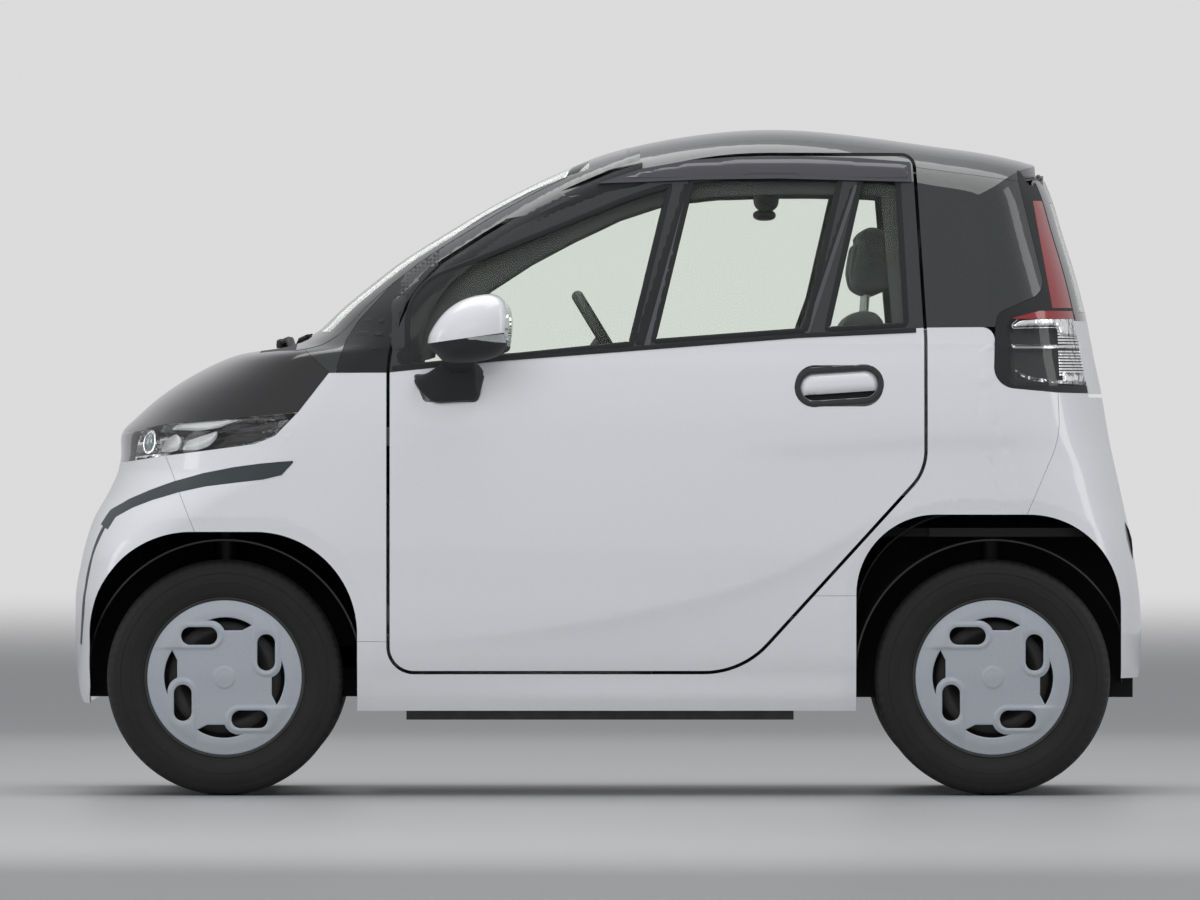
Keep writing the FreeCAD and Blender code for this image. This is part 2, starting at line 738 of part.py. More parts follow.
# Windscreen, cowl and roof panel in the middle strip
screen_region = middle_strip(0).common(block(screen_foot, header, -WIDE, WIDE, size.cowl_height - 40, SKY))
keep("windscreen", glazing.common(screen_region))
keep("cowl_panel", skins.common(cowl_region(0)))
roof_region = middle_strip(0).common(
    block(header + size.fit, roof_back, -WIDE, WIDE, tail_hinge_z + size.fit, SKY))
keep("roof_panel", skins.common(roof_region))

# Rear pillars with their lamps
LAMP = (
    (rear_axle + 40, size.tailgate_bottom + 20, 18),
    (rear_axle + 34, size.belt_rear + 20, 25),
    (rear_axle + 110, size.belt_rear + 40, 20),
    (FAR_REAR, size.belt_rear + 40, 0),
    (FAR_REAR, size.tailgate_bottom + 20, 0),
)
TAIL_STRIP = (
    (rear_axle + 96, size.height - 170, 0),
    (FAR_REAR, size.height - 170, 0),
    (FAR_REAR, size.belt_rear + 46, 0),
    (rear_axle + 140, size.belt_rear + 46, 0),
)
tail_space = tailgate_region(size.shut_gap)
roof_space = middle_strip(size.fit).common(block(0, FAR_REAR, -WIDE, WIDE, tail_hinge_z - 20, SKY))
pillar = left_skins.common(region(LAMP_PILLAR, [tail_space, roof_space]))
lamp_cut = side_prism(LAMP)
tail_cut = side_prism(TAIL_STRIP)
keep("lamp_pillars", pair(pillar.cut([lamp_cut, tail_cut])))
lamp_seat = side_prism(LAMP, grow=-size.fit)
tail_seat = side_prism(TAIL_STRIP, grow=-size.fit)
lamps = pillar.common(lamp_seat)
strips = pillar.common(tail_seat)
keep("tail_lamps", Part.makeCompound(pair(lamps).Solids + pair(strips).Solids))

# Lower grille: a slatted insert behind the bumper's skin, with a flat pad for the number plate
SLATS = 5
slat_pitch = (grille_high - grille_low) / SLATS
slots = []
for i in range(SLATS):
    low = grille_low + (i + 0.35) * slat_pitch
    slots.append(block(FAR_FRONT, front_axle, 150, size.grille_half - 75, low, low + 0.4 * slat_pitch))
    slots.append(mirrored(slots[-1]))
insert = skins.common(grille_region(0).cut(slots))
insert.translate(V(12, 0, 0))
pad_z = grille_low + 2.6 * slat_pitch
pad_x = nose_at(pad_z) + 8
pad = block(pad_x, pad_x + size.skin, -130, 130, pad_z - 24, pad_z + 24)
plate_bores = [rod(V(pad_x - 5, y, pad_z), V(pad_x + 80, y, pad_z), size.plate_hole_radius)
               for y in (-size.plate_holes / 2, size.plate_holes / 2)]
keep("lower_grille", insert.fuse(pad).cut(plate_bores))

# Rear bumper with the flat pad of the rear number plate
rear_pad_z = size.tail_height + 300
rear_pad_x = tail_at(rear_pad_z) - 4
rear_pad = block(rear_pad_x - 18, rear_pad_x, -150, 150, rear_pad_z - 30, rear_pad_z + 30)
rear_room = block(rear_pad_x, FAR_REAR, -150, 150, rear_pad_z - 30, rear_pad_z + 30)
rear_bores = [rod(V(rear_pad_x - 60, y, rear_pad_z), V(rear_pad_x + 5, y, rear_pad_z), size.plate_hole_radius)
              for y in (-size.plate_holes / 2, size.plate_holes / 2)]
rear_bumper = skins.common(region(REAR_BUMPER, [tail_space])).cut(rear_room).fuse(rear_pad).cut(rear_bores)
keep("rear_bumper", rear_bumper)

# Doors. The hinge line lies inside the front edge, in a pocket that is open inboard.
door_cell = side_prism(DOOR, -WIDE, 0, grow=-size.shut_gap / 2)
half_fit = size.fit / 2
hinge_x = door_x0 + size.shut_gap / 2 + size.hinge_setback
hinge_y = -(size.width / 2 - size.hinge_inset)
HINGES = (size.rocker_top + 40, size.underside + 640)
barrel_radius = size.hinge_pin + 2.5
pin_ends = 5.0
handle_x0, handle_x1 = door_x1 - 303, door_x1 - 99
handle_z0, handle_z1 = size.belt_front - 78, size.belt_front + 17
handle_skin = side_at((handle_z0 + handle_z1) / 2)
recess = 34.0
HANDLE = (
    (handle_x0, handle_z0, 46),
    (handle_x0, handle_z1, 46),
    (handle_x1, handle_z1, 46),
    (handle_x1, handle_z0, 46),
)
foot_x0, foot_x1 = door_x0 + 58, door_x0 + 218
foot_z0, foot_z1 = size.belt_front - 68, size.belt_front - 4
foot_skin = side_at((foot_z0 + foot_z1) / 2)
foot_sunk = 20.0
FOOT = (
    (foot_x0 + 25, foot_z0, 14),
    (foot_x0, foot_z1, 6),
    (foot_x1 + 6, foot_z1, 6),
    (foot_x1 - 10, foot_z0, 14),
)
lower_cell = door_cell.cut([
    above_belt(-half_fit),
    side_prism(HANDLE, -WIDE, -(handle_skin - recess), grow=size.fit),
    side_prism(FOOT, -WIDE, -(foot_skin - foot_sunk), grow=size.fit),
] + [
    block(door_x0 - 20, hinge_x + 14, hinge_y - barrel_radius - 1.2, 0, z - 3, z + size.hinge_tall + 3)
    for z in HINGES
])
door_panel = left_thick.common(lower_cell)
pins = [Part.makeCylinder(size.hinge_pin, size.hinge_tall + 2 * pin_ends, V(hinge_x, hinge_y, z - pin_ends))
        for z in HINGES]
door_panel = door_panel.multiFuse(pins)

# Window frame: a ring with two slanted bars, and three panes of glass
front_bar = (door_x0 + 695, door_x0 + 572)
rear_bar = (door_x1 - 160, door_x1 - 276)
glass_top = size.door_top - size.sash - size.shut_gap / 2


def window_outline(margin):
    """All the glass of one door seen from the side, smaller by the margin."""
    return (
        (door_x0 + size.sash + margin, belt_at(door_x0 + size.sash) + 8 + margin, 20),
        (door_x1 - size.sash - margin, belt_at(door_x1 - size.sash) + 8 + margin, 6),
        (door_x1 - size.sash - 20 - margin, glass_top - margin, 20),
        (door_x0 + 690, glass_top - margin, 900),
        (door_x0 + size.sash + margin, glass_top - 262 - margin, 280),
    )


def window_bar(top_x, foot_x, extra):
    """Slanted window bar, widened by extra on both sides."""
    wide = size.bar_width / 2 + extra
    top, low = size.door_top, size.belt_front
    corners = ((foot_x - wide, low, 0), (foot_x + wide, low, 0), (top_x + wide, top, 0), (top_x - wide, top, 0))
    return side_prism(corners)


foot_rail = 8.0
window = side_prism(window_outline(0)).common(above_belt(foot_rail)).cut(
    [window_bar(*front_bar, 0), window_bar(*rear_bar, 0)])
frame_cell = door_cell.common(above_belt(half_fit)).cut([window, middle_strip(size.shut_gap)])
door_frame = left_thick.common(frame_cell)
panes = side_prism(window_outline(size.fit), -WIDE, -200).common(above_belt(foot_rail + size.fit)).cut(
    [window_bar(*front_bar, size.fit), window_bar(*rear_bar, size.fit)])
door_glass = glazing.common(panes)
door_glass.translate(V(0, 8, 0))

# Door handle: dark cup with a bar across it, and room for fingers behind
cup = side_prism(HANDLE, -(handle_skin - recess + 5), -(handle_skin - recess + size.fit))
ring = side_prism(HANDLE, -(handle_skin + 2), -(handle_skin - recess + size.fit)).cut(
    side_prism(HANDLE, -WIDE, 0, grow=-9))
bar_mid = handle_z1 - 36
grip = side_prism(HANDLE, -(handle_skin + 6), -(handle_skin - 10)).common(
    block(handle_x0, handle_x1, -WIDE, 0, bar_mid - 17, bar_mid + 17))
door_handle = joined([cup, ring, grip])

# Mirror: foot on the door, arm and housing
housing_y = -(size.width / 2 + 105)
housing = block(door_x0 + 103, door_x0 + 283, housing_y - 80, housing_y + 80, size.belt_front + 38,
                size.belt_front + 184)
housing = housing.makeFillet(42, housing.Edges)
foot = side_prism(FOOT, -(foot_skin + 14), -(foot_skin - foot_sunk + size.fit))
arm = side_prism((
    (foot_x0 + 50, foot_z0 + 20, 8),
    (foot_x0 + 60, size.belt_front + 70, 8),
    (foot_x1 - 20, size.belt_front + 70, 8),
    (foot_x1 - 30, foot_z0 + 20, 8),
), housing_y + 30, -(foot_skin + 4))
mirror = joined([foot, arm, housing])

for side, turn in (("left", lambda shape: shape), ("right", mirrored)):
    keep("door_panel_" + side, turn(door_panel))
    keep("door_frame_" + side, turn(door_frame))
    keep("door_glass_" + side, turn(door_glass))
    keep("door_handle_" + side, turn(door_handle))
    keep("mirror_" + side, turn(mirror))

# Tailgate with its window, hinged under the roof's rear edge
tail_hinge_half = 300.0
tail_pin = 3.0
glass_low, glass_high = size.tailgate_bottom + 190, size.height - 175
glass_foot = size.tailgate_half - 80
glass_head = size.tailgate_top_half - 60


def tail_window(margin):
    """Window of the tailgate seen from behind, smaller by the margin."""
    foot, head = glass_foot - margin, glass_head - margin
    low, high = glass_low + margin, glass_high - margin
    return rear_prism([(-foot, low), (foot, low), (head, high), (-head, high)], rear_axle - 60, FAR_REAR)


tail_cell = tailgate_region(0).common(block(roof_back - 20, FAR_REAR, -WIDE, WIDE, 0, SKY))
tail_cell = tail_cell.cut(tail_window(0))
tailgate = thick_skins.common(tail_cell)
tail_bits, roof_bits = [], []
for y in (-tail_hinge_half, tail_hinge_half):
    for side in (-16, 16):
        centre = V(tail_hinge_x, y + side - 5, tail_hinge_z)
        knuckle = Part.makeCylinder(tail_pin + 3, 10, centre, V(0, 1, 0))
        leg = block(roof_back - 44, tail_hinge_x, centre.y, centre.y + 10, tail_hinge_z - 6,
                    tail_hinge_z - size.fit)
        hole = Part.makeCylinder(tail_pin + size.running, 14, centre - V(0, 2, 0), V(0, 1, 0))
        roof_bits.append(joined([knuckle, leg]).cut(hole))
    tail_bits.append(Part.makeCylinder(tail_pin, 52, V(tail_hinge_x, y - 26, tail_hinge_z), V(0, 1, 0)))
    tail_bits.append(block(tail_hinge_x - 3, tail_hinge_x + 12, y - 9, y + 9, tail_hinge_z - 24,
                           tail_hinge_z + 3))
keep("tailgate", tailgate.multiFuse(tail_bits))
keep("tailgate_glass", glazing.common(tail_window(size.fit)))

# Wheel liners: half tubes over the wheels, inside the panels
liners = []
for x, inner in ((front_axle, size.kingpin_half - 178), (rear_axle, size.kingpin_half - 50)):
    hub = V(x, -size.width / 2, size.tyre_radius)
    wide = size.width / 2 - inner
    tube = Part.makeCylinder(size.liner_radius + size.liner_wall, wide, hub, V(0, 1, 0)).cut(
        Part.makeCylinder(size.liner_radius, wide, hub, V(0, 1, 0)))
    liners.append(tube.cut(block(x - 400, x + 400, -WIDE, 0, 0, size.bumper_height + 30)))
damper_y = size.kingpin_half - 95
liners[0] = liners[0].cut(Part.makeCylinder(30, 400, V(front_axle, -damper_y, size.tyre_radius)))
keep("wheel_liners", pair(inner_room.common(Part.makeCompound(liners))))

# Floor platform: pan, bulkheads, luggage deck, front rails and jacking blocks
floor_x0 = front_axle + size.liner_radius + size.liner_wall + 3
floor_x1 = rear_axle - size.liner_radius - size.liner_wall - 3
pan_top = size.floor_height + size.floor_wall
rail_y0, rail_y1 = size.kingpin_half - 260, size.kingpin_half - 190
rail_z0, rail_z1 = pan_top + 15, pan_top + 65
deck_top = size.deck_height + size.floor_wall
deck_half = side_at(deck_top) - size.door_depth - size.door_room
bits = [
    block(floor_x0, floor_x1, -WIDE, WIDE, size.floor_height, pan_top),
    block(floor_x0, floor_x0 + size.floor_wall, -WIDE, WIDE, size.floor_height, size.belt_front - 20),
    block(floor_x1 - size.floor_wall, floor_x1, -deck_half, deck_half, size.floor_height, deck_top),
    block(floor_x1 - size.floor_wall, FAR_REAR, -deck_half, deck_half, size.deck_height, deck_top),
    block(door_x1 + size.shut_gap, FAR_REAR, -WIDE, WIDE, size.deck_height, deck_top),
]
jack_half = size.battery_width / 2 + 40
for y in (-1, 1):
    y0, y1 = sorted((y * rail_y0, y * rail_y1))
    bits.append(block(front_axle - 240, floor_x0 + size.floor_wall, y0, y1, rail_z0, rail_z1))
    for x in (floor_x0 + 120, floor_x1 - 120):
        bits.append(block(x - 30, x + 30, y * jack_half - 20, y * jack_half + 20, size.sill_height + 14,
                          pan_top))
platform = inner_room.common(joined(bits))
keep("floor_platform", platform)

# Hinges on the body: for the doors a barrel on a leg that goes inboard, round the edge of
# the open door, and then forward
door_edge = -hinge_y - side_at(size.belt_front, size.door_depth)
edge_sweep = math.hypot(size.hinge_setback, door_edge)
leg_wall = 10.0
leg_y = hinge_y + math.hypot(size.hinge_setback, size.hinge_inset) + size.door_room
hinge_bits = []
for z in HINGES:
    barrel = Part.makeCylinder(barrel_radius, size.hinge_tall, V(hinge_x, hinge_y, z))
    inward = block(hinge_x - leg_wall / 2, hinge_x + leg_wall / 2, hinge_y, leg_y + leg_wall, z,
                   z + size.hinge_tall)
    forward = block(floor_x0 + size.floor_wall + size.fit, hinge_x + leg_wall / 2, leg_y, leg_y + leg_wall,
                    z, z + size.hinge_tall)
    hole = Part.makeCylinder(size.hinge_pin + size.running, size.hinge_tall + 2, V(hinge_x, hinge_y, z - 1))
    hinge_bits.append(joined([barrel, inward, forward]).cut(hole))
hinge_bits += [mirrored(bit) for bit in hinge_bits]
keep("hinges", Part.makeCompound(hinge_bits + roof_bits))

# Battery case and drive unit, each one plain block
battery_z1 = size.floor_height - size.fit
battery_x = -20.0
keep("battery_pack", block(battery_x - size.battery_length / 2, battery_x + size.battery_length / 2,
                           -size.battery_width / 2, size.battery_width / 2, battery_z1 - size.battery_depth, battery_z1))
motor_x0 = rear_axle - size.motor_length / 2
keep("drive_unit", block(motor_x0, motor_x0 + size.motor_length, -size.motor_width / 2, size.motor_width / 2,
                         size.tyre_radius - 0.4 * size.motor_depth, size.tyre_radius + 0.6 * size.motor_depth))

# Front suspension: crossmember, wishbones, dampers and the steering rack's housing
arm_low = size.tyre_radius - 105
arm_high = size.tyre_radius + 98
knuckle_low, knuckle_high = arm_low + 20 + 7, arm_high - 7
rack_x = front_axle + size.steering_arm
rack_z = size.tyre_radius - 15.5
half_frame = [
    block(front_axle - 40, front_axle + 140, -rail_y1, 0, arm_low, arm_low + 36),
    block(front_axle - 22, front_axle + 22, -size.kingpin_half, -rail_y1 + 10, arm_low, arm_low + 20),
    block(front_axle - 22, front_axle + 22, -size.kingpin_half, -rail_y0, arm_high, arm_high + 16),
    block(front_axle - 30, front_axle + 30, -rail_y1, -rail_y0, rail_z1 + size.fit, rail_z1 + 300),
    block(front_axle - 60, front_axle - 25, -rail_y1, -rail_y0, arm_low, rail_z0 - size.fit),
    block(front_axle - 40, front_axle + 40, -damper_y - 30, -rail_y0, rail_z1 + 290, rail_z1 + 310),
    Part.makeCylinder(26, rail_z1 + 295 - arm_low, V(front_axle, -damper_y, arm_low)),
    Part.makeCylinder(24, 20, V(front_axle, -size.kingpin_half, arm_low)),
    Part.makeCylinder(24, 16, V(front_axle, -size.kingpin_half, arm_high)),
    block(rack_x - 14, rack_x + 14, -60, 0, arm_low, rack_z),
    rod(V(rack_x, -190, rack_z), V(rack_x, 0, rack_z), size.rack_radius + 8),
]
tow_x, tow_z, tow_wall = front_axle - 62, arm_low + 10, 16.0
half_frame.append(block(tow_x - 22, front_axle - 30, -22, 0, tow_z, tow_z + tow_wall))
frame_half = joined(half_frame)
frame_whole = joined([frame_half, mirrored(frame_half)])
bores = [Part.makeCylinder(size.kingpin_radius + size.running, 400, V(front_axle, y, arm_low - 20))
         for y in (-size.kingpin_half, size.kingpin_half)]
bores.append(rod(V(rack_x, -250, rack_z), V(rack_x, 250, rack_z), size.rack_radius + size.running))
bores.append(Part.makeCylinder(9, tow_wall + 20, V(tow_x, 0, tow_z - 10)))
keep("front_subframe", frame_whole.cut(bores))

# Knuckles with kingpin, stub axle and steering arm, and the rack that turns them
hub_face = wheel_y - 20
eye_z = rack_z - 9
knuckle = joined([
    block(front_axle - 30, front_axle + 30, -size.kingpin_half - 20, -size.kingpin_half + 20, knuckle_low,
          knuckle_high),
    Part.makeCylinder(size.kingpin_radius, arm_high + 16 - arm_low + 4,
                      V(front_axle, -size.kingpin_half, arm_low - 2)),
    rod(V(front_axle, -size.kingpin_half, size.tyre_radius), V(front_axle, -hub_face - 44, size.tyre_radius),
        size.spindle_radius),
    rod(V(front_axle, -size.kingpin_half, size.tyre_radius),
        V(front_axle, -hub_face + 1, size.tyre_radius), 26),
    block(front_axle, rack_x, -size.kingpin_half + 14, -size.kingpin_half + 32, eye_z - 16, eye_z - size.fit),
    Part.makeCylinder(15, 16 - size.fit, V(rack_x, -size.kingpin_half + 23, eye_z - 16)),
])
keep("knuckle_left", knuckle)
keep("knuckle_right", mirrored(knuckle))
eye_y = size.kingpin_half - 23
rack = joined([
    rod(V(rack_x, -290, rack_z), V(rack_x, 290, rack_z), size.rack_radius),
    rod(V(rack_x, -eye_y, rack_z), V(rack_x, eye_y, rack_z), 7),
    Part.makeCylinder(14, 18, V(rack_x, -eye_y, eye_z)),
    Part.makeCylinder(14, 18, V(rack_x, eye_y, eye_z)),
])
keep("steering_rack", rack)

# Rear axle: half tubes beside the drive unit, trailing arms, spring struts and stub axles
spring_y = size.kingpin_half - 105
half_axle = joined([
    rod(V(rear_axle, -size.kingpin_half - 12, size.tyre_radius),
        V(rear_axle, -size.motor_width / 2 - size.fit, size.tyre_radius), 30),
    rod(V(rear_axle, -hub_face - 44, size.tyre_radius), V(rear_axle, -size.kingpin_half, size.tyre_radius),
        size.spindle_radius),
    rod(V(rear_axle, -hub_face + 1, size.tyre_radius),
        V(rear_axle, -size.kingpin_half, size.tyre_radius), 26),
    block(floor_x1 + size.fit, rear_axle + 20, -spring_y - 18, -spring_y + 18, size.floor_height - 8,
          pan_top + 8),
    Part.makeCylinder(35, size.deck_height - size.fit - size.tyre_radius,
                      V(rear_axle, -spring_y, size.tyre_radius)),
])
keep("rear_axle", pair(half_axle))

# Wheels: a tyre on a rim, and a vented cap over the rim
cap_face = 78.0
TYRE = (
    ("rim_radius", "-58"), ("rim_radius + 50", "-tyre_width / 2"), ("tyre_radius - 12", "-tyre_width / 2 + 11"),
    ("tyre_radius", "-tyre_width / 2 + 28"), ("tyre_radius", "tyre_width / 2 - 28"),
    ("tyre_radius - 12", "tyre_width / 2 - 11"), ("rim_radius + 50", "tyre_width / 2"), ("rim_radius", "58"),
)
WHEEL = (
    ("0", "-76"), ("60", "-76"), ("150", "-72"), ("cap_radius", "-67"), ("cap_radius", "-65.5"),
    ("rim_radius - fit", "-66"), ("rim_radius - fit", "62"), ("rim_radius - rim_wall", "62"),
    ("rim_radius - rim_wall", "-6"), ("42", "-2"), ("42", "20"), ("spindle_radius + running", "20"),
    ("spindle_radius + running", "-28"), ("42", "-28"), ("42", "-16"), ("rim_radius - rim_wall", "-20"),
    ("rim_radius - rim_wall", "-72 + cap_wall"), ("60", "-76 + cap_wall"), ("0", "-76 + cap_wall"),
)
ALIASES = {alias for alias, value, note in SIZES}


def formula(text):
    """Sheet formula for an expression in plain size names."""
    words = "".join(c if c.isalnum() or c == "_" else " " for c in text).split()
    for word in sorted(set(words) & ALIASES, key=len, reverse=True):
        parts = []
        for piece in text.split(" "):
            bare = piece.strip("-()")
            parts.append(piece.replace(bare, "Sizes." + bare) if bare == word else piece)
        text = " ".join(parts)
    return text


def loop_sketch(body, name, corners):
    """Closed polygon on the body's XY plane, each corner bound to the sheet."""
    plane = [item for item in body.Origin.OriginFeatures if item.Role == "XY_Plane"][0]
    sketch = body.newObject("Sketcher::SketchObject", name)
    sketch.AttachmentSupport = [(plane, "")]
    sketch.MapMode = "FlatFace"
    places = [(float(sheet.evalExpression(formula(a))), float(sheet.evalExpression(formula(b)))) for a, b in corners]
    count = len(corners)
    for i in range(count):
        sketch.addGeometry(Part.LineSegment(V(*places[i], 0), V(*places[(i + 1) % count], 0)), False)
    for i in range(count):
        sketch.addConstraint(Sketcher.Constraint("Coincident", i, 2, (i + 1) % count, 1))
    for i in range(count):
        for kind, text, place in zip(("DistanceX", "DistanceY"), corners[i], places[i]):
            index = sketch.addConstraint(Sketcher.Constraint(kind, -1, 1, i, 1, place))
            sketch.setExpression(f"Constraints[{index}]", formula(text))
    return sketch


def turned(name, corners, centre, flip):
    """PartDesign body: a profile turned about the wheel's axis, set at a wheel's centre."""
    body = doc.addObject("PartDesign::Body", name)
    body.Label = name
    sketch = loop_sketch(body, name + "_profile", corners)
    turn = body.newObject("PartDesign::Revolution", name + "_turned")
    turn.Profile = sketch
    turn.ReferenceAxis = (sketch, ["V_Axis"])
    turn.Angle = 360
    body.Placement = FreeCAD.Placement(centre, FreeCAD.Rotation(V(0, 0, 1), 180 if flip else 0))
    body.setExpression(".Placement.Base.z", "Sizes.tyre_radius")
    PARTS.append(body)
    return body, turn


def stadium(sketch, centre, reach, radius):
    """Stadium outline in a sketch, lying along its first axis."""
    x, z = centre
    first = sketch.GeometryCount
    sketch.addGeometry(Part.LineSegment(V(x - reach, z + radius, 0), V(x + reach, z + radius, 0)), False)
    right = Part.Circle(V(x + reach, z, 0), V(0, 0, 1), radius)
    sketch.addGeometry(Part.ArcOfCircle(right, -math.pi / 2, math.pi / 2), False)
    sketch.addGeometry(Part.LineSegment(V(x + reach, z - radius, 0), V(x - reach, z - radius, 0)), False)
    left = Part.Circle(V(x - reach, z, 0), V(0, 0, 1), radius)
    sketch.addGeometry(Part.ArcOfCircle(left, math.pi / 2, 3 * math.pi / 2), False)
    for line, end, arc, tip in ((0, 2, 1, 2), (2, 1, 1, 1), (2, 2, 3, 2), (0, 1, 3, 1)):
        sketch.addConstraint(Sketcher.Constraint("Coincident", first + line, end, first + arc, tip))


def cap_slots(body, turn):
    """Cut four slots and four narrow openings in the wheel cap."""
    plane = [item for item in body.Origin.OriginFeatures if item.Role == "XZ_Plane"][0]
    sketch = body.newObject("Sketcher::SketchObject", body.Name + "_slots")
    sketch.AttachmentSupport = [(plane, "")]
    sketch.MapMode = "FlatFace"
    sketch.AttachmentOffset = FreeCAD.Placement(V(0, 0, cap_face), FreeCAD.Rotation())
    cap = size.cap_radius
    stadium(sketch, (-0.327 * cap, 0.542 * cap), 0.114 * cap, 0.12 * cap)
    stadium(sketch, (0.124 * cap, 0.709 * cap), 0.134 * cap, 0.073 * cap)
    pocket = body.newObject("PartDesign::Pocket", body.Name + "_pocket")
    pocket.Profile = sketch
    pocket.Length = 16
    pocket.Reversed = False
    pattern = body.newObject("PartDesign::PolarPattern", body.Name + "_four")
    pattern.Originals = [pocket]
    pattern.Axis = (sketch, ["N_Axis"])
    pattern.Angle = 360
    pattern.Occurrences = 4
    body.Tip = pattern


WHEELS = (
    ("front_left", front_axle, -wheel_y, False), ("front_right", front_axle, wheel_y, True),
    ("rear_left", rear_axle, -wheel_y, False), ("rear_right", rear_axle, wheel_y, True),
)
for place, x, y, flip in WHEELS:
    turned("tyre_" + place, TYRE, V(x, y, size.tyre_radius), flip)
    body, turn = turned("wheel_" + place, WHEEL, V(x, y, size.tyre_radius), flip)
    cap_slots(body, turn)

# Dashboard across the cabin, steering column and wheel on the right
DASH = (
    (floor_x0 + size.floor_wall + size.fit, size.belt_front - 280, 0),
    (floor_x0 + size.floor_wall + size.fit, size.belt_front + 4, 0),
    (floor_x0 + 60, size.belt_front + 10, 30),
    (floor_x0 + 240, size.belt_front - 20, 60),
    (floor_x0 + 270, size.belt_front - 150, 50),
    (floor_x0 + 150, size.belt_front - 280, 40),
)
driver_y = size.seat_spacing / 2
tilt = math.radians(31)
column_way = V(math.cos(tilt), 0, math.sin(tilt))
grip_centre = V(front_axle + 905, driver_y, size.belt_front + 35)


def on_column(along):
    """Point on the steering column's line, measured from the wheel's centre."""
    return grip_centre + column_way * along


column_foot = -1 * (grip_centre.x - floor_x0 - 250) / column_way.x
shaft_tip, column_tip = -120.0, -46.0
column = rod(on_column(column_foot), on_column(column_tip), size.column_radius)
column = column.cut(rod(on_column(shaft_tip - 5), on_column(column_tip + 5), 10 + size.running))
keep("steering_column", column)
socket = rod(on_column(column_foot - size.fit), on_column(0), size.column_radius + size.fit)
dash_half = -hinge_y - edge_sweep - size.door_room
keep("dashboard", cabin_room.common(side_prism(DASH, -dash_half, dash_half)).cut(socket))
grip_frame = FreeCAD.Placement(grip_centre, FreeCAD.Rotation(V(0, 0, 1), column_way))
grip = [
    Part.makeTorus(size.grip_ring, size.grip_radius),
    Part.makeCylinder(46, 34, V(0, 0, -40)),
    Part.makeCylinder(10, -shaft_tip - 20, V(0, 0, shaft_tip)),
]
for turn_by in (0, 90, 270):
    spoke = block(20, size.grip_ring, -16, 16, -18, -4)
    spoke.rotate(V(0, 0, 0), V(0, 0, 1), turn_by)
    grip.append(spoke)
wheel_shape = joined(grip)
wheel_shape = wheel_shape.transformGeometry(grip_frame.toMatrix())
keep("steering_wheel", wheel_shape)

# Seats: frame on the floor, cushion, and a back with its headrest
seat_back_x = floor_x1 - size.floor_wall - 61
frame_top = size.seat_height - 115
half_seat = size.seat_width / 2
seat_frames, cushions, backs = [], [], []
for y in (-driver_y, driver_y):
    seat_frames.append(block(seat_back_x - 385, seat_back_x + 20, y - half_seat + 40, y + half_seat - 40,
                             pan_top + size.fit, frame_top))
    cushion = block(seat_back_x - 490, seat_back_x - 108, y - half_seat, y + half_seat, frame_top + size.fit,
                    size.seat_height)
    cushions.append(cushion.makeFillet(30, [e for e in cushion.Edges if e.Length > 60]))
    rise = size.belt_front + 120 - frame_top
    back = side_prism((
        (seat_back_x - 100, frame_top + size.fit, 20),
        (seat_back_x + 70, size.belt_front + 120, 50),
        (seat_back_x + 165, size.belt_front + 120, 50),
        (seat_back_x, frame_top + size.fit, 20),
    ), y - half_seat, y + half_seat)
    head = side_prism((
        (seat_back_x + 70, size.belt_front + 150, 40),
        (seat_back_x + 90, size.belt_front + 350, 50),
        (seat_back_x + 170, size.belt_front + 350, 50),
        (seat_back_x + 180, size.belt_front + 150, 40),
    ), y - 125, y + 125)
    posts = [rod(V(seat_back_x + 110, y + off, size.belt_front + 60),
                 V(seat_back_x + 122, y + off, size.belt_front + 200), 7)
             for off in (-60, 60)]
    backs.append(joined([back, head] + posts))
keep("seat_frames", Part.makeCompound(seat_frames))
keep("seat_cushions", Part.makeCompound(cushions))
keep("seat_backs", Part.makeCompound(backs))

# Inner mirror under the roof's front edge, and the windscreen wipers on the cowl
mirror_x = header + 325
ceiling = size.height - smooth(ROOF, mirror_x - front_end) - size.skin - 2 * size.fit
stem = Part.makeCylinder(7, ceiling - size.height + 160, V(mirror_x, 0, size.height - 160))
glass_block = block(mirror_x - 18, mirror_x + 18, -110, 110, size.height - 206, size.height - 146)
keep("inner_mirror", joined([stem, glass_block]))

wiper_x = cowl_front + 45
blade_x = screen_foot + 25
blade_z = size.cowl_height + 41
wipers = []
for y in (-260.0, 120.0):
    deck = size.cowl_height + 14
    pivot = Part.makeCylinder(14, 60, V(wiper_x, y, deck - 30)).cut(outer)
    pivot.translate(V(0, 0, 2 * size.fit))
    arm = rod(V(wiper_x, y, deck + 22), V(blade_x, y + 190, blade_z), 6)
    blade = rod(V(blade_x, y - 10, blade_z), V(blade_x, y + 340, blade_z), 6)
    wipers.append(joined([pivot, arm, blade]))
keep("wipers", Part.makeCompound(wipers))

doc.recompute()
faults = [item.Name for item in doc.Objects if "Invalid" in item.State or "Error" in item.State]
for item in PARTS:
    if item.Shape.isNull() or not item.Shape.isValid() or item.Shape.Volume <= 0:
        faults.append(item.Label)
if faults:
    raise SystemExit("Not written, because these failed: " + ", ".join(faults))
os.makedirs("parts", exist_ok=True)
for item in PARTS:
    item.Shape.exportStep(f"parts/{item.Label}.step")
    print(item.Label, len(item.Shape.Solids), round(item.Shape.Volume / 1e6, 2))
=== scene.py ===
import bpy
import bmesh
import json
import math
import numpy as np
from mathutils import Matrix, Vector
from mathutils.bvhtree import BVHTree
from mathutils.geometry import delaunay_2d_cdt

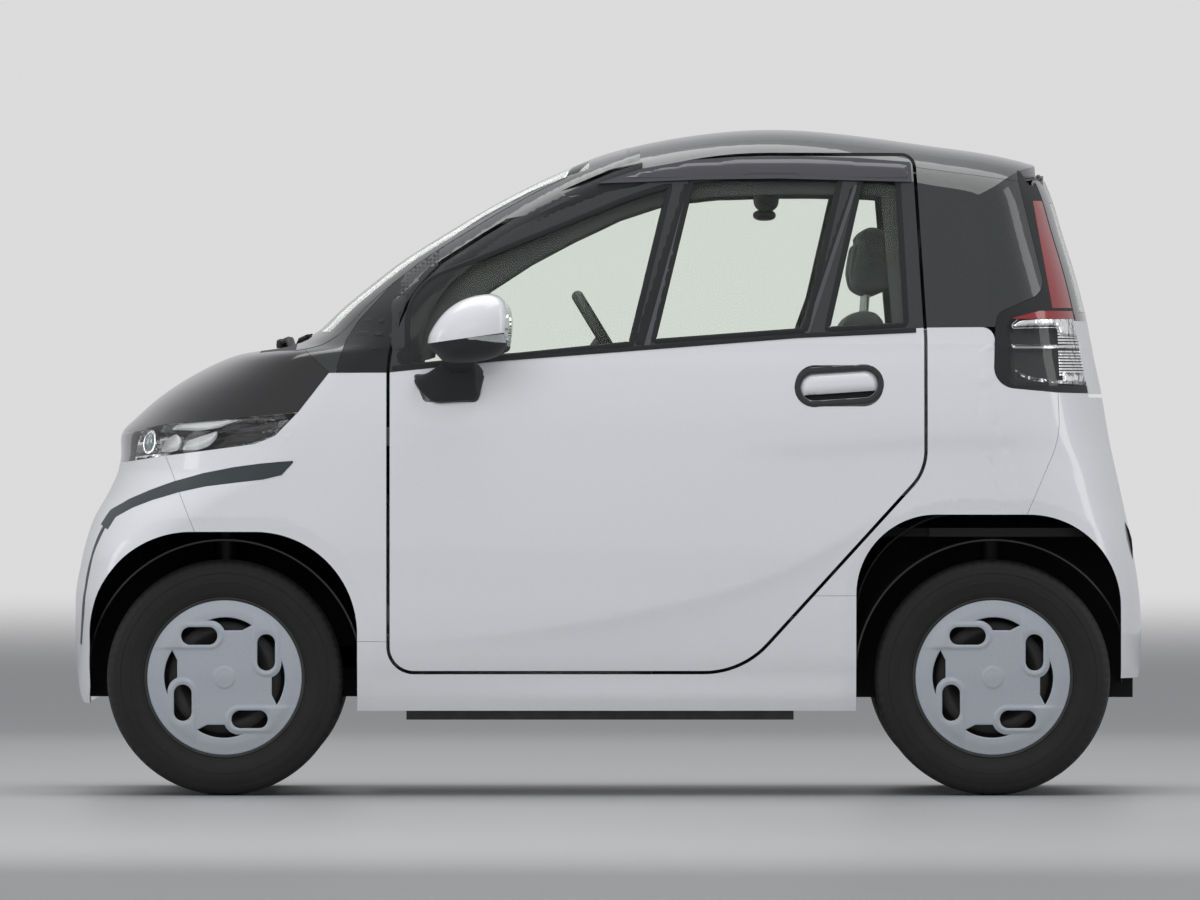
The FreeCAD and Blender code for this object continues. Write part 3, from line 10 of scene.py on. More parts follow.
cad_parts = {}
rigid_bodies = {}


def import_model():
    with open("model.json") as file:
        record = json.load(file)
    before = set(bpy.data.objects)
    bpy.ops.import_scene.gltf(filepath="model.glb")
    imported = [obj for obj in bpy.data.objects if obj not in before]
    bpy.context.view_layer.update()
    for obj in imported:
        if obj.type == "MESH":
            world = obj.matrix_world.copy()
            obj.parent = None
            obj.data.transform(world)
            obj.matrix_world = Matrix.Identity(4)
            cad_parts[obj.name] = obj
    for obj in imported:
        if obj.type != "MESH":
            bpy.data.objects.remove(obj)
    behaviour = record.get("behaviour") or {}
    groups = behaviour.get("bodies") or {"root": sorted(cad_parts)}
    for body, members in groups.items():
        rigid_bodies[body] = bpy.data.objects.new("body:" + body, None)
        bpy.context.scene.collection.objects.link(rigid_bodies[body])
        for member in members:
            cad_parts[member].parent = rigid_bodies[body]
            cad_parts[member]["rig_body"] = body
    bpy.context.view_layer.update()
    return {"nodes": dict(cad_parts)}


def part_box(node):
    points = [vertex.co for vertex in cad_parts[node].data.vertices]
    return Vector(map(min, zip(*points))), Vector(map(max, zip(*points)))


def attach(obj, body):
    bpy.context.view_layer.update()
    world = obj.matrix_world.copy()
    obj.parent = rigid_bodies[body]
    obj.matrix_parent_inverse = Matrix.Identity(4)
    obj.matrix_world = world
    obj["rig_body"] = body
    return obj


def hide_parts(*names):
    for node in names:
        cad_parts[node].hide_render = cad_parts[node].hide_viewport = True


# Two-seat electric microcar in pearl white and dark grey-green, seen from its left side.
# X runs from nose to tail, Y to the car's right and Z up, in metres.
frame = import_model()
cad = frame["nodes"]

# Studio: a grey floor that fades into the pale backdrop, a wide soft box overhead and one on either
# side of the car, and a strip at each end that draws the long highlights on the paint.
FLOOR_REACH = 60.0
floor_mesh = bpy.data.meshes.new("studio_floor")
floor_mesh.from_pydata([(-FLOOR_REACH, -FLOOR_REACH, 0), (FLOOR_REACH, -FLOOR_REACH, 0),
                        (FLOOR_REACH, FLOOR_REACH, 0), (-FLOOR_REACH, FLOOR_REACH, 0)], [], [(0, 1, 2, 3)])
floor = bpy.data.objects.new("studio_floor", floor_mesh)
bpy.context.scene.collection.objects.link(floor)


def finish(name, colour, roughness, **values):
    """New material whose Principled shader holds the given colour, roughness and other values."""
    made = bpy.data.materials.new(name)
    made.use_nodes = True
    shader = made.node_tree.nodes["Principled BSDF"]
    shader.inputs["Base Color"].default_value = (*colour, 1)
    shader.inputs["Roughness"].default_value = roughness
    for socket, value in values.items():
        shader.inputs[socket.replace("_", " ")].default_value = value
    return made, made.node_tree, shader


def add(tree, kind, **values):
    """New node in a tree, with its properties and input values set by name."""
    node = tree.nodes.new(kind)
    for label, value in values.items():
        if label in node.bl_rna.properties:
            setattr(node, label, value)
        else:
            node.inputs[label.replace("_", " ")].default_value = value
    return node


def math_node(tree, operation, first, second):
    """Math node whose inputs are sockets or numbers; gives its output socket."""
    node = tree.nodes.new("ShaderNodeMath")
    node.operation = operation
    for socket, value in zip(node.inputs, (first, second)):
        if isinstance(value, bpy.types.NodeSocket):
            tree.links.new(value, socket)
        else:
            socket.default_value = value
    return node.outputs[0]


def blend_colours(tree, share, first, second):
    """Colour mix of two sockets or colours by a share socket; gives its output socket."""
    node = add(tree, "ShaderNodeMix", data_type="RGBA")
    tree.links.new(share, node.inputs[0])
    for socket, value in ((node.inputs[6], first), (node.inputs[7], second)):
        if isinstance(value, bpy.types.NodeSocket):
            tree.links.new(value, socket)
        else:
            socket.default_value = value
    return node.outputs[2]


FADE_FROM, FADE_TO = 16.0, 48.0
floor_finish, tree, shader = finish("studio_floor", (0.40, 0.405, 0.41), 0.42, Specular_IOR_Level=0.35)
spot = add(tree, "ShaderNodeTexCoord")
speckle = add(tree, "ShaderNodeTexNoise", Scale=9.0, Detail=5.0)
tree.links.new(spot.outputs["Object"], speckle.inputs["Vector"])
tree.links.new(blend_colours(tree, speckle.outputs["Fac"], (0.385, 0.39, 0.395, 1), (0.415, 0.42, 0.425, 1)),
               shader.inputs["Base Color"])
distance = add(tree, "ShaderNodeVectorMath", operation="LENGTH")
tree.links.new(spot.outputs["Object"], distance.inputs[0])
fade = add(tree, "ShaderNodeMapRange", interpolation_type="SMOOTHERSTEP", From_Min=FADE_FROM,
           From_Max=FADE_TO)
tree.links.new(distance.outputs["Value"], fade.inputs["Value"])
clear = add(tree, "ShaderNodeBsdfTransparent")
fader = add(tree, "ShaderNodeMixShader")
tree.links.new(fade.outputs["Result"], fader.inputs[0])
tree.links.new(shader.outputs[0], fader.inputs[1])
tree.links.new(clear.outputs[0], fader.inputs[2])
tree.links.new(fader.outputs[0], tree.nodes["Material Output"].inputs["Surface"])
floor.data.materials.append(floor_finish)

world = bpy.data.worlds.new("studio_backdrop")
bpy.context.scene.world = world
world.use_nodes = True
tree = world.node_tree
BACKDROP, MIRRORED_SHARE = (0.72, 0.71, 0.715, 1), 0.38
shade = tree.nodes["Background"]
shade.inputs["Color"].default_value = (0.86, 0.88, 0.92, 1)
shade.inputs["Strength"].default_value = 0.42
seen = add(tree, "ShaderNodeBackground", Color=BACKDROP, Strength=1.0)
path = add(tree, "ShaderNodeLightPath")
straight = math_node(tree, "MAXIMUM", path.outputs["Is Camera Ray"], path.outputs["Is Transmission Ray"])
glossy = math_node(tree, "MULTIPLY", path.outputs["Is Glossy Ray"], MIRRORED_SHARE)
chooser = add(tree, "ShaderNodeMixShader")
tree.links.new(math_node(tree, "MAXIMUM", straight, glossy), chooser.inputs[0])
tree.links.new(shade.outputs[0], chooser.inputs[1])
tree.links.new(seen.outputs[0], chooser.inputs[2])
tree.links.new(chooser.outputs[0], tree.nodes["World Output"].inputs["Surface"])

# Each box: name, place, what it points at, width, depth and power in watts. The two side boxes
# don't show in the paint, so that they leave no bright squares there.
SOFT_BOXES = (
    ("overhead_box", (0.2, 0.3, 5.2), (0.0, 0.0, 0.6), 6.5, 4.6, 170.0),
    ("camera_side_box", (-1.2, -6.5, 3.4), (0.0, 0.0, 0.8), 6.0, 3.0, 150.0),
    ("nose_strip_box", (-6.0, -1.5, 2.2), (-0.8, 0.0, 0.8), 1.4, 4.0, 32.0),
    ("tail_strip_box", (6.0, -1.0, 2.4), (0.9, 0.0, 0.9), 1.4, 4.0, 32.0),
    ("far_side_box", (0.0, 6.5, 3.6), (0.0, 0.0, 0.8), 6.0, 3.0, 60.0),
)
for label, place, target, wide, deep, watts in SOFT_BOXES:
    lamp = bpy.data.lights.new(label, "AREA")
    lamp.shape = "RECTANGLE"
    lamp.size, lamp.size_y = wide, deep
    lamp.energy = watts
    holder = bpy.data.objects.new(label, lamp)
    holder.location = place
    holder.rotation_euler = (Vector(target) - Vector(place)).to_track_quat("-Z", "Y").to_euler()
    holder.visible_camera = False
    holder.visible_glossy = label not in ("far_side_box", "camera_side_box")
    bpy.context.scene.collection.objects.link(holder)

# Camera: square to the left side, with a long lens from far off, as in the photograph. It stands a
# little above the belt line and looks down to the middle of the car's height.
CAMERA_AWAY = 45.0
PICTURE_WIDE = 2.8188
CAMERA_X, CAMERA_HIGH, AIM_HIGH = -0.02, 0.93, 0.799
camera_data = bpy.data.cameras.new("side_camera")
camera_data.sensor_width = 36.0
camera_data.lens = camera_data.sensor_width * CAMERA_AWAY / PICTURE_WIDE
camera_data.clip_end = 200.0
camera = bpy.data.objects.new("side_camera", camera_data)
camera.location = (CAMERA_X, -CAMERA_AWAY, CAMERA_HIGH)
camera.rotation_euler = (Vector((CAMERA_X, 0, AIM_HIGH)) - camera.location).to_track_quat(
    "-Z", "Y").to_euler()
bpy.context.scene.collection.objects.link(camera)
bpy.context.scene.camera = camera
bpy.context.scene.view_settings.view_transform = "Standard"

# White outer panels: front bumper, fenders, doors, sills, quarters and rear bumper. Each is a
# moulded skin on the body form, pressed with a rising crease low on the door, soft lips round
# the wheel arches, a shallow dish at the mirror's foot and a sill that turns out at its top.
LENGTH, WIDTH, HEIGHT = 2.490, 1.290, 1.550
UNDERSIDE, COWL = 0.170, 1.046
# Curves of the body form, as stations of (level, distance in mm). Level 0 is the underside, 1 the
# windscreen's foot and 2 the roof's crown.
NOSE = ((0, 45), (0.08, 9), (0.18, 0), (0.32, 0), (0.42, 13), (0.525, 37), (0.62, 80), (0.67, 97),
        (0.77, 107), (0.80, 133), (0.86, 193), (0.93, 290), (0.973, 380), (1, 510), (1.194, 638),
        (1.377, 755), (1.526, 873), (1.661, 990), (1.778, 1108), (1.875, 1225), (2.02, 1435))
TAIL = ((0, 50), (0.08, 15), (0.15, 2), (0.23, 0), (0.32, 4), (0.45, 20), (0.61, 48), (0.74, 72), (0.87, 91),
        (1, 114), (1.12, 126), (1.3, 149), (1.53, 185), (1.68, 208), (1.82, 240), (2.02, 290))
TUCK = ((0, 60), (0.08, 35), (0.18, 13), (0.32, 3), (0.47, 0), (0.6, 2), (0.78, 8), (0.93, 21), (1, 31),
        (1.31, 57), (1.6, 85), (1.78, 105), (1.9, 133), (2.02, 190))
FRONT_CORNER = ((0, 120), (0.18, 135), (0.42, 160), (0.525, 240), (0.62, 330), (0.67, 400), (0.77, 440),
                (0.86, 420), (0.93, 360), (0.973, 290), (1, 220), (1.2, 190), (2.02, 170))
FRONT_SQUARE = ((0, 5), (0.42, 5), (0.6, 3.4), (0.77, 2.7), (0.93, 2.8), (1, 3.6), (1.3, 4.5), (2.02, 4.5))
REAR_CORNER = ((0, 130), (0.32, 160), (0.61, 220), (0.87, 260), (1.1, 250), (1.53, 220), (2.02, 190))
REAR_SQUARE = ((0, 5), (0.42, 5), (0.87, 3.6), (2.02, 3.6))
CORNER_BEND = 2.3
NUDGE = 0.0004


def follow(stations, places):
    """Monotone cubic curve through the stations at an array of places, held level past its ends."""
    at, value = np.array(stations, float).T
    slopes = np.diff(value) / np.diff(at)
    tangents = np.concatenate(([slopes[0]], np.zeros(len(slopes) - 1), [slopes[-1]]))
    left, right = slopes[:-1], slopes[1:]
    same = left * right > 0
    tangents[1:-1][same] = 2 * left[same] * right[same] / (left[same] + right[same])
    places = np.clip(places, at[0], at[-1])
    k = np.clip(np.searchsorted(at, places, side="right") - 1, 0, len(slopes) - 1)
    span = at[k + 1] - at[k]
    part = (places - at[k]) / span
    rest = 1 - part
    return (value[k] * (1 + 2 * part) * rest ** 2 + span * tangents[k] * part * rest ** 2
            + value[k + 1] * part ** 2 * (3 - 2 * part) - span * tangents[k + 1] * part ** 2 * rest)


def level_of(z):
    """Level of a height above the ground."""
    return np.where(z <= COWL, (z - UNDERSIDE) / (COWL - UNDERSIDE), 1 + (z - COWL) / (HEIGHT - COWL))


def form_at(x, z):
    """Half-width at a height, and how far each place reaches into the front and rear corners."""
    level = level_of(z)
    half = WIDTH / 2 - follow(TUCK, level) / 1000
    nose = -LENGTH / 2 + follow(NOSE, level) / 1000
    tail = LENGTH / 2 - follow(TAIL, level) / 1000
    front = np.maximum(0, 1 - (x - nose) / (follow(FRONT_CORNER, level) / 1000))
    rear = np.maximum(0, 1 - (tail - x) / (follow(REAR_CORNER, level) / 1000))
    return half, front, rear, follow(FRONT_SQUARE, level), follow(REAR_SQUARE, level)


def half_width(x, z):
    """Half-width of the body form where its skin lies, for arrays of x and z."""
    half, front, rear, front_square, rear_square = form_at(x, z)
    return (half * (1 - np.minimum(front, 1) ** CORNER_BEND) ** (1 / front_square)
            * (1 - np.minimum(rear, 1) ** CORNER_BEND) ** (1 / rear_square))


def half_at(x, z):
    """Half-width of the body form at a single place."""
    return float(half_width(np.array([x]), np.array([z]))[0])


def side_gap(points):
    """Signed distance, to first order, of points outside the body's side form, and its normals."""
    def value(p):
        half, front, rear, front_square, rear_square = form_at(p[:, 0], p[:, 2])
        square = np.where(p[:, 0] < 0, front_square, rear_square)
        return (np.abs(p[:, 1]) / half) ** square + front ** CORNER_BEND + rear ** CORNER_BEND - 1
    here = value(points)
    slope = np.empty_like(points)
    for axis in range(3):
        step = np.zeros(3)
        step[axis] = NUDGE
        slope[:, axis] = (value(points + step) - value(points - step)) / (2 * NUDGE)
    size = np.maximum(np.linalg.norm(slope, axis=1), 1e-6)
    return here / size, slope / size[:, None]


# Pressings of the side: where they run in mm along the car, how strong they are, and how deep.
CREASE = ((-495, 354), (-298, 368), (-113, 393), (73, 426), (258, 470), (420, 528), (560, 602), (640, 655))
CREASE_STRENGTH = ((-560, 0.25), (-300, 0.6), (0, 1), (480, 1), (600, 0.6), (700, 0))
CREASE_DEPTH, CREASE_FALL, CREASE_SOFT = 0.0115, 0.045, 0.0035
SHOULDER = ((300, 800), (440, 799), (700, 815), (1000, 820), (1130, 720))
SHOULDER_STRENGTH = ((250, 0), (520, 1), (1060, 1), (1160, 0.3))
SHOULDER_DEPTH, SHOULDER_SOFT, SHOULDER_WIDE, SHOULDER_FADE = 0.0045, 0.012, 0.16, 0.045
SILL_FOOT, SILL_TOP = 0.218, 0.289
# Each arch: middle, half-length, corner radius and top. Its lip fades out over LIP_WIDE.
ARCHES = ((-0.8935, 0.3105, 0.235, 0.611), (0.881, 0.307, 0.235, 0.651))
LIP_DEPTH, LIP_START, LIP_SOFT, LIP_WIDE = 0.0045, 0.002, 0.003, 0.032
MIRROR_DISH, DISH_REACH, DISH_DEPTH, DISH_EDGE = (-0.372, 0.915), (0.085, 0.055), 0.005, 9
LONGEST_EDGE = 0.0165
WELD = 1e-5
ON_FORM = 0.0016
PRESSED_FROM, PRESSED_OVER, PRESS_STEP = 0.40, 0.12, 0.0005
FACES_OUT = 0.85


def effect(name, inputs, outputs):
    """Empty shader node group with named sockets: pairs of a name and a kind or a default value."""
    tree = bpy.data.node_groups.new(name, "ShaderNodeTree")
    for label, default in inputs:
        kind = "NodeSocketColor" if isinstance(default, tuple) else "NodeSocketFloat"
        tree.interface.new_socket(label, in_out="INPUT", socket_type=kind).default_value = default
    for label, kind in outputs:
        tree.interface.new_socket(label, in_out="OUTPUT", socket_type="NodeSocket" + kind)
    return tree, tree.nodes.new("NodeGroupInput"), tree.nodes.new("NodeGroupOutput")


# Paint has small flakes and a faint waviness, and low on the car it carries a film of road dust.
tree, given, made = effect("paint_flake", (("Base", (0.8, 0.8, 0.8, 1)), ("Flake", (1, 1, 1, 1)),
                                           ("Strength", 0.3)),
                           (("Color", "Color"), ("Height", "Float")))
place = add(tree, "ShaderNodeTexCoord")
flakes = add(tree, "ShaderNodeTexVoronoi", Scale=1400.0)
tree.links.new(place.outputs["Object"], flakes.inputs["Vector"])
glint = add(tree, "ShaderNodeSeparateColor")
tree.links.new(flakes.outputs["Color"], glint.inputs[0])
share = math_node(tree, "MULTIPLY", math_node(tree, "POWER", glint.outputs[0], 3.0),
                  given.outputs["Strength"])
tree.links.new(blend_colours(tree, share, given.outputs["Base"], given.outputs["Flake"]),
               made.inputs["Color"])
PEEL_DEPTH = 0.00002
peel = add(tree, "ShaderNodeTexNoise", Scale=170.0, Detail=2.0)
tree.links.new(place.outputs["Object"], peel.inputs["Vector"])
tree.links.new(math_node(tree, "MULTIPLY", peel.outputs["Fac"], PEEL_DEPTH), made.inputs["Height"])
flake_effect = tree

tree, given, made = effect(
    "road_film", (("Clean", (0.8, 0.8, 0.8, 1)), ("Film", (0.35, 0.33, 0.3, 1)), ("Top", 0.45),
                  ("Amount", 0.25)),
    (("Color", "Color"),))
place = add(tree, "ShaderNodeTexCoord")
parts = add(tree, "ShaderNodeSeparateXYZ")
tree.links.new(place.outputs["Object"], parts.inputs[0])
low = math_node(tree, "SUBTRACT", 1.0, math_node(tree, "DIVIDE", parts.outputs[2], given.outputs["Top"]))
spray = add(tree, "ShaderNodeTexNoise", Scale=22.0, Detail=6.0)
tree.links.new(place.outputs["Object"], spray.inputs["Vector"])
wet = math_node(tree, "MULTIPLY", math_node(tree, "MAXIMUM", low, 0.0), spray.outputs["Fac"])
mask = math_node(tree, "MULTIPLY", wet, given.outputs["Amount"])
tree.links.new(blend_colours(tree, mask, given.outputs["Clean"], given.outputs["Film"]), made.inputs["Color"])
film_effect = tree


def grouped(tree, group, **values):
    """Places a shared effect in a material and sets its inputs."""
    node = tree.nodes.new("ShaderNodeGroup")
    node.node_tree = group
    for label, value in values.items():
        node.inputs[label].default_value = value
    return node


def dusty(tree, colour, top, amount):
    """Adds the road film over a colour socket, thinner upwards to its top; gives the new colour."""
    node = grouped(tree, film_effect, Top=top, Amount=amount, Film=(0.36, 0.34, 0.31, 1))
    tree.links.new(colour, node.inputs["Clean"])
    return node.outputs["Color"]


def raised(tree, shader, height):
    """Feeds a height socket in metres through a Bump node into the shader's normal."""
    bump = add(tree, "ShaderNodeBump", Distance=1.0, Strength=1.0)
    tree.links.new(height, bump.inputs["Height"])
    tree.links.new(bump.outputs[0], shader.inputs["Normal"])


def paint(name, colour, flake, strength, roughness, film=0.12, **values):
    """Clear-coated paint with small flakes, a wavy coat and road film near the ground."""
    made, tree, shader = finish(name, colour, roughness, Coat_Weight=1.0, Coat_Roughness=0.03, **values)
    flakes = grouped(tree, flake_effect, Base=(*colour, 1), Flake=(*flake, 1), Strength=strength)
    tree.links.new(dusty(tree, flakes.outputs["Color"], 0.5, film), shader.inputs["Base Color"])
    raised(tree, shader, flakes.outputs["Height"])
    return made


white_paint = paint("pearl_white_paint", (0.80, 0.81, 0.835), (0.93, 0.94, 0.98), 0.5, 0.32, Metallic=0.0)


def smooth(mesh, degrees):
    """Smooth shading, except along edges sharper than an angle in degrees."""
    mesh.polygons.foreach_set("use_smooth", [True] * len(mesh.polygons))
    mesh.set_sharp_from_angle(angle=math.radians(degrees))


def piece(name, mesh, body, instead_of=()):
    """Object that rides on a body, and stands for the nodes named."""
    made = bpy.data.objects.new(name, mesh)
    bpy.context.scene.collection.objects.link(made)
    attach(made, body)
    if instead_of:
        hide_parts(*instead_of)
    return made


def soft_step(depth, width):
    """Ramp that starts softly: 0 for negative depths, rising at first like a curve, then straight."""
    return width * np.logaddexp(0, depth / width)


def swell(depth, width):
    """Smooth step from 0 to 1 as a depth goes from nothing to a width."""
    part = np.clip(depth / width, 0, 1)
    return part * part * (3 - 2 * part)


def pressing(x, z):
    """How far the side skin is pressed in at each place of the side view."""
    below = follow(CREASE, x * 1000) / 1000 - z
    fall = soft_step(below, CREASE_SOFT)
    depth = CREASE_DEPTH * follow(CREASE_STRENGTH, x * 1000) * (1 - np.exp(-fall / CREASE_FALL))
    depth = depth * swell(z - SILL_FOOT, SILL_TOP - SILL_FOOT)
    drop = follow(SHOULDER, x * 1000) / 1000 - z
    depth = depth + SHOULDER_DEPTH * follow(SHOULDER_STRENGTH, x * 1000) * (
        1 / (1 + np.exp(-drop / SHOULDER_SOFT)) - 1 / (1 + np.exp(-(drop - SHOULDER_WIDE) / SHOULDER_FADE)))
    for middle, half, radius, top in ARCHES:
        across, up = np.abs(x - middle) - half + radius, z - top + radius
        inside = np.minimum(np.maximum(across, up), 0)
        gap = np.hypot(np.maximum(across, 0), np.maximum(up, 0)) + inside - radius
        depth = depth + LIP_DEPTH * np.clip(1 - soft_step(gap - LIP_START, LIP_SOFT) / LIP_WIDE, 0, 1)
    away = np.hypot((x - MIRROR_DISH[0]) / DISH_REACH[0], (z - MIRROR_DISH[1]) / DISH_REACH[1])
    return depth + DISH_DEPTH / (1 + np.exp((away - 1) * DISH_EDGE))


def draft_of(node):
    """Editable copy of a CAD node's mesh, with its corners welded."""
    draft = bmesh.new()
    draft.from_mesh(cad[node].data)
    bmesh.ops.remove_doubles(draft, verts=draft.verts, dist=WELD)
    return draft


def divide(draft, longest, rounds):
    """Halves edges that are too long, until none is left or the rounds are over."""
    for _ in range(rounds):
        long = [edge for edge in draft.edges if edge.calc_length() > longest]
        if not long:
            break
        bmesh.ops.subdivide_edges(draft, edges=long, cuts=1)
        bmesh.ops.triangulate(draft, faces=[face for face in draft.faces if len(face.verts) > 3])


def read(items, what, width, kind=np.float32):
    """A property of a mesh's items as an array, one row each where its width is above 1."""
    values = np.empty(len(items) * width, kind)
    items.foreach_get(what, values)
    return values.reshape(-1, width) if width > 1 else values


def skin(node, name, material):
    """Copy of a panel on the body form, finely divided and pressed, with its true curved normals."""
    mesh = cad[node].data.copy()
    mesh.name = name
    draft = draft_of(node)
    divide(draft, LONGEST_EDGE, 4)
    bmesh.ops.dissolve_degenerate(draft, edges=draft.edges, dist=1e-6)
    draft.to_mesh(mesh)
    draft.free()
    mesh.validate()
    points = read(mesh.vertices, "co", 3).astype(float)
    gap, normal = side_gap(points)
    outer = np.abs(gap) < ON_FORM
    for _ in range(2):
        gap, normal = side_gap(points)
        points[outer] -= (gap[:, None] * normal)[outer]
    x, y, z = points.T.copy()
    side = np.where(y < 0, -1.0, 1.0)
    share = swell(np.abs(y) - PRESSED_FROM, PRESSED_OVER)
    depth = pressing(x, z) * share
    along = (pressing(x + PRESS_STEP, z) - pressing(x - PRESS_STEP, z)) / (2 * PRESS_STEP)
    rise = (pressing(x, z + PRESS_STEP) - pressing(x, z - PRESS_STEP)) / (2 * PRESS_STEP)
    true = normal.copy()
    true[:, 0] += side * normal[:, 1] * along * share
    true[:, 2] += side * normal[:, 1] * rise * share
    true /= np.linalg.norm(true, axis=1)[:, None]
    points[:, 1] -= side * depth
    mesh.vertices.foreach_set("co", points.astype(np.float32).ravel())
    mesh.update()
    smooth(mesh, 25)
    shading = read(mesh.corner_normals, "vector", 3)
    of_loop = read(mesh.loops, "vertex_index", 1, np.int32)
    sizes = read(mesh.polygons, "loop_total", 1, np.int32)
    face_normal = np.repeat(read(mesh.polygons, "normal", 3), sizes, axis=0)
    first_loops = np.concatenate(([0], np.cumsum(sizes)[:-1]))
    face_outer = np.repeat(np.minimum.reduceat(outer[of_loop].astype(np.int32), first_loops), sizes) > 0
    curved = face_outer & ((face_normal * true[of_loop]).sum(1) > FACES_OUT)
    shading[curved] = true[of_loop][curved]
    mesh.normals_split_custom_set(shading.tolist())
    mesh.materials.clear()
    mesh.materials.append(material)
    return piece(name, mesh, cad[node]["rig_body"], (node,))


for node in ("front_bumper", "front_fenders", "rockers", "rear_quarters", "rear_bumper", "door_panel_left",
             "door_panel_right"):
    skin(node, node + "_skin", white_paint)

# Door handles: a gloss black oval rim let into the door, a dark hollow for the fingers and a
# white half-moon grip across its upper half. A fine bright line runs round the rim.
# They are plates with any outline laid on the body form, at a depth below or above the skin.
TILT = math.radians(3.8)
DOORS = ("door_left", "door_right")
# Side view: millimetres for each of its steps, the car's middle and the wheels' hubs in it, and
# how high the hubs stand in millimetres.
VIEW_SCALE, MIDDLE_AT, HUBS_AT, HUB_HIGH = 2.318, 608.6, 676.7, 273.5


def spread_line(outline, spacing):
    """Closed outline with points added so that none are further apart than the spacing."""
    result = []
    for (x0, z0), (x1, z1) in zip(outline, outline[1:] + outline[:1]):
        parts = max(1, math.ceil(math.hypot(x1 - x0, z1 - z0) / spacing))
        result += [(x0 + (x1 - x0) * k / parts, z0 + (z1 - z0) * k / parts) for k in range(parts)]
    return result


def rounded(outline, radius):
    """Closed outline whose corners are rounded."""
    result = []
    count = len(outline)
    for i, corner in enumerate(outline):
        here = np.array(corner, float)
        before, after = np.array(outline[i - 1]) - here, np.array(outline[(i + 1) % count]) - here
        reach = min(radius, 0.48 * np.linalg.norm(before), 0.48 * np.linalg.norm(after))
        start = here + before / np.linalg.norm(before) * reach
        stop = here + after / np.linalg.norm(after) * reach
        for k in range(9 if reach > 0.5 else 1):
            part = k / 8
            point = start * (1 - part) ** 2 + 2 * here * part * (1 - part) + stop * part ** 2
            result.append(tuple(point) if reach > 0.5 else corner)
    return result


def inside_of(outline, points):
    """Which points lie inside a closed outline."""
    x, z = points.T
    odd = np.zeros(len(points), bool)
    for (x0, z0), (x1, z1) in zip(outline, outline[1:] + outline[:1]):
        crosses = (z0 > z) != (z1 > z)
        odd ^= crosses & (x < (x1 - x0) * (z - z0) / (z1 - z0 + 1e-12) + x0)
    return odd


def edge_distance(outline, points):
    """Distance of points from a closed outline."""
    best = np.full(len(points), 1e9)
    for start, stop in zip(outline, outline[1:] + outline[:1]):
        start, way = np.array(start, float), np.array(stop, float) - start
        along = np.clip((points - start) @ way / max(way @ way, 1e-9), 0, 1)
        best = np.minimum(best, np.linalg.norm(points - start - along[:, None] * way, axis=1))
    return best


def plate(outline, depth, thick, holes=(), cell=9.0, edge=5.0, edge_drop=1.5, dome=0.0, pressed=True):
    """Corners and faces of a plate on the left side, from a side-view outline in millimetres.

    Depth is how far its face lies below the skin, edge and edge_drop round its border, and dome
    raises its middle."""
    rings = [spread_line(list(ring), cell) for ring in (outline, *holes)]
    border = np.array([point for ring in rings for point in ring], float)
    low, high = border.min(0), border.max(0)
    grid = np.array([(x, z) for x in np.arange(low[0] + cell / 2, high[0], cell)
                     for z in np.arange(low[1] + cell / 2, high[1], cell)]).reshape(-1, 2)
    loops = []
    start = 0
    for ring in rings:
        loops.append(list(range(start, start + len(ring))))
        start += len(ring)
    if len(grid):
        within = inside_of(rings[0], grid)
        near = edge_distance(rings[0], grid)
        for ring in rings[1:]:
            within &= ~inside_of(ring, grid)
            near = np.minimum(near, edge_distance(ring, grid))
        grid = grid[within & (near > cell * 0.45)]
    flat = np.vstack([border, grid]) if len(grid) else border
    edges = [(loop[k], loop[(k + 1) % len(loop)]) for loop in loops for k in range(len(loop))]
    points, _, triangles, _, _, _ = delaunay_2d_cdt([Vector(p) for p in flat], edges, [], 0, 1e-4)
    points = np.array([tuple(p) for p in points])
    centres = np.array([points[list(t)].mean(0) for t in triangles])
    keep = inside_of(rings[0], centres)
    for ring in rings[1:]:
        keep &= ~inside_of(ring, centres)
    triangles = [t for t, kept in zip(triangles, keep) if kept]
    gap = edge_distance(rings[0], points)
    for ring in rings[1:]:
        gap = np.minimum(gap, edge_distance(ring, points))
    wide = max(gap.max(), 1e-6)
    raised_by = (dome * (1 - (1 - np.clip(gap / wide, 0, 1)) ** 2)
                 - edge_drop * (1 - np.clip(gap / max(edge, 0.1), 0, 1)) ** 2)
    x, z = points[:, 0] / 1000, points[:, 1] / 1000
    skin_y = half_width(x, z) - (pressing(x, z) if pressed else 0)
    front_y = -(skin_y - (depth - raised_by) / 1000)
    back_y = -(skin_y - (depth + thick) / 1000)
    front = np.stack([x, front_y, z], axis=1)
    back = np.stack([x, back_y, z], axis=1)
    count = len(points)
    used = {(t[k], t[(k + 1) % 3]): None for t in triangles for k in range(3)}
    faces = [tuple(t) for t in triangles] + [tuple(count + i for i in reversed(t)) for t in triangles]
    for a, b in used:
        if (b, a) not in used:
            faces.append((b, a, count + a, count + b))
    return np.vstack([front, back]), faces


def joined(shapes, mirrors=(1,)):
    """Corners, faces and material numbers of shapes, as they are (1) or on the other side (-1)."""
    corners, faces, kinds = [], [], []
    for mirror in mirrors:
        for (points, polygons), kind in shapes:
            shift = len(corners)
            corners += [(float(x), float(y) * mirror, float(z)) for x, y, z in points]
            faces += [tuple(i + shift for i in face)[::mirror] for face in polygons]
            kinds += [kind] * len(polygons)
    return corners, faces, kinds


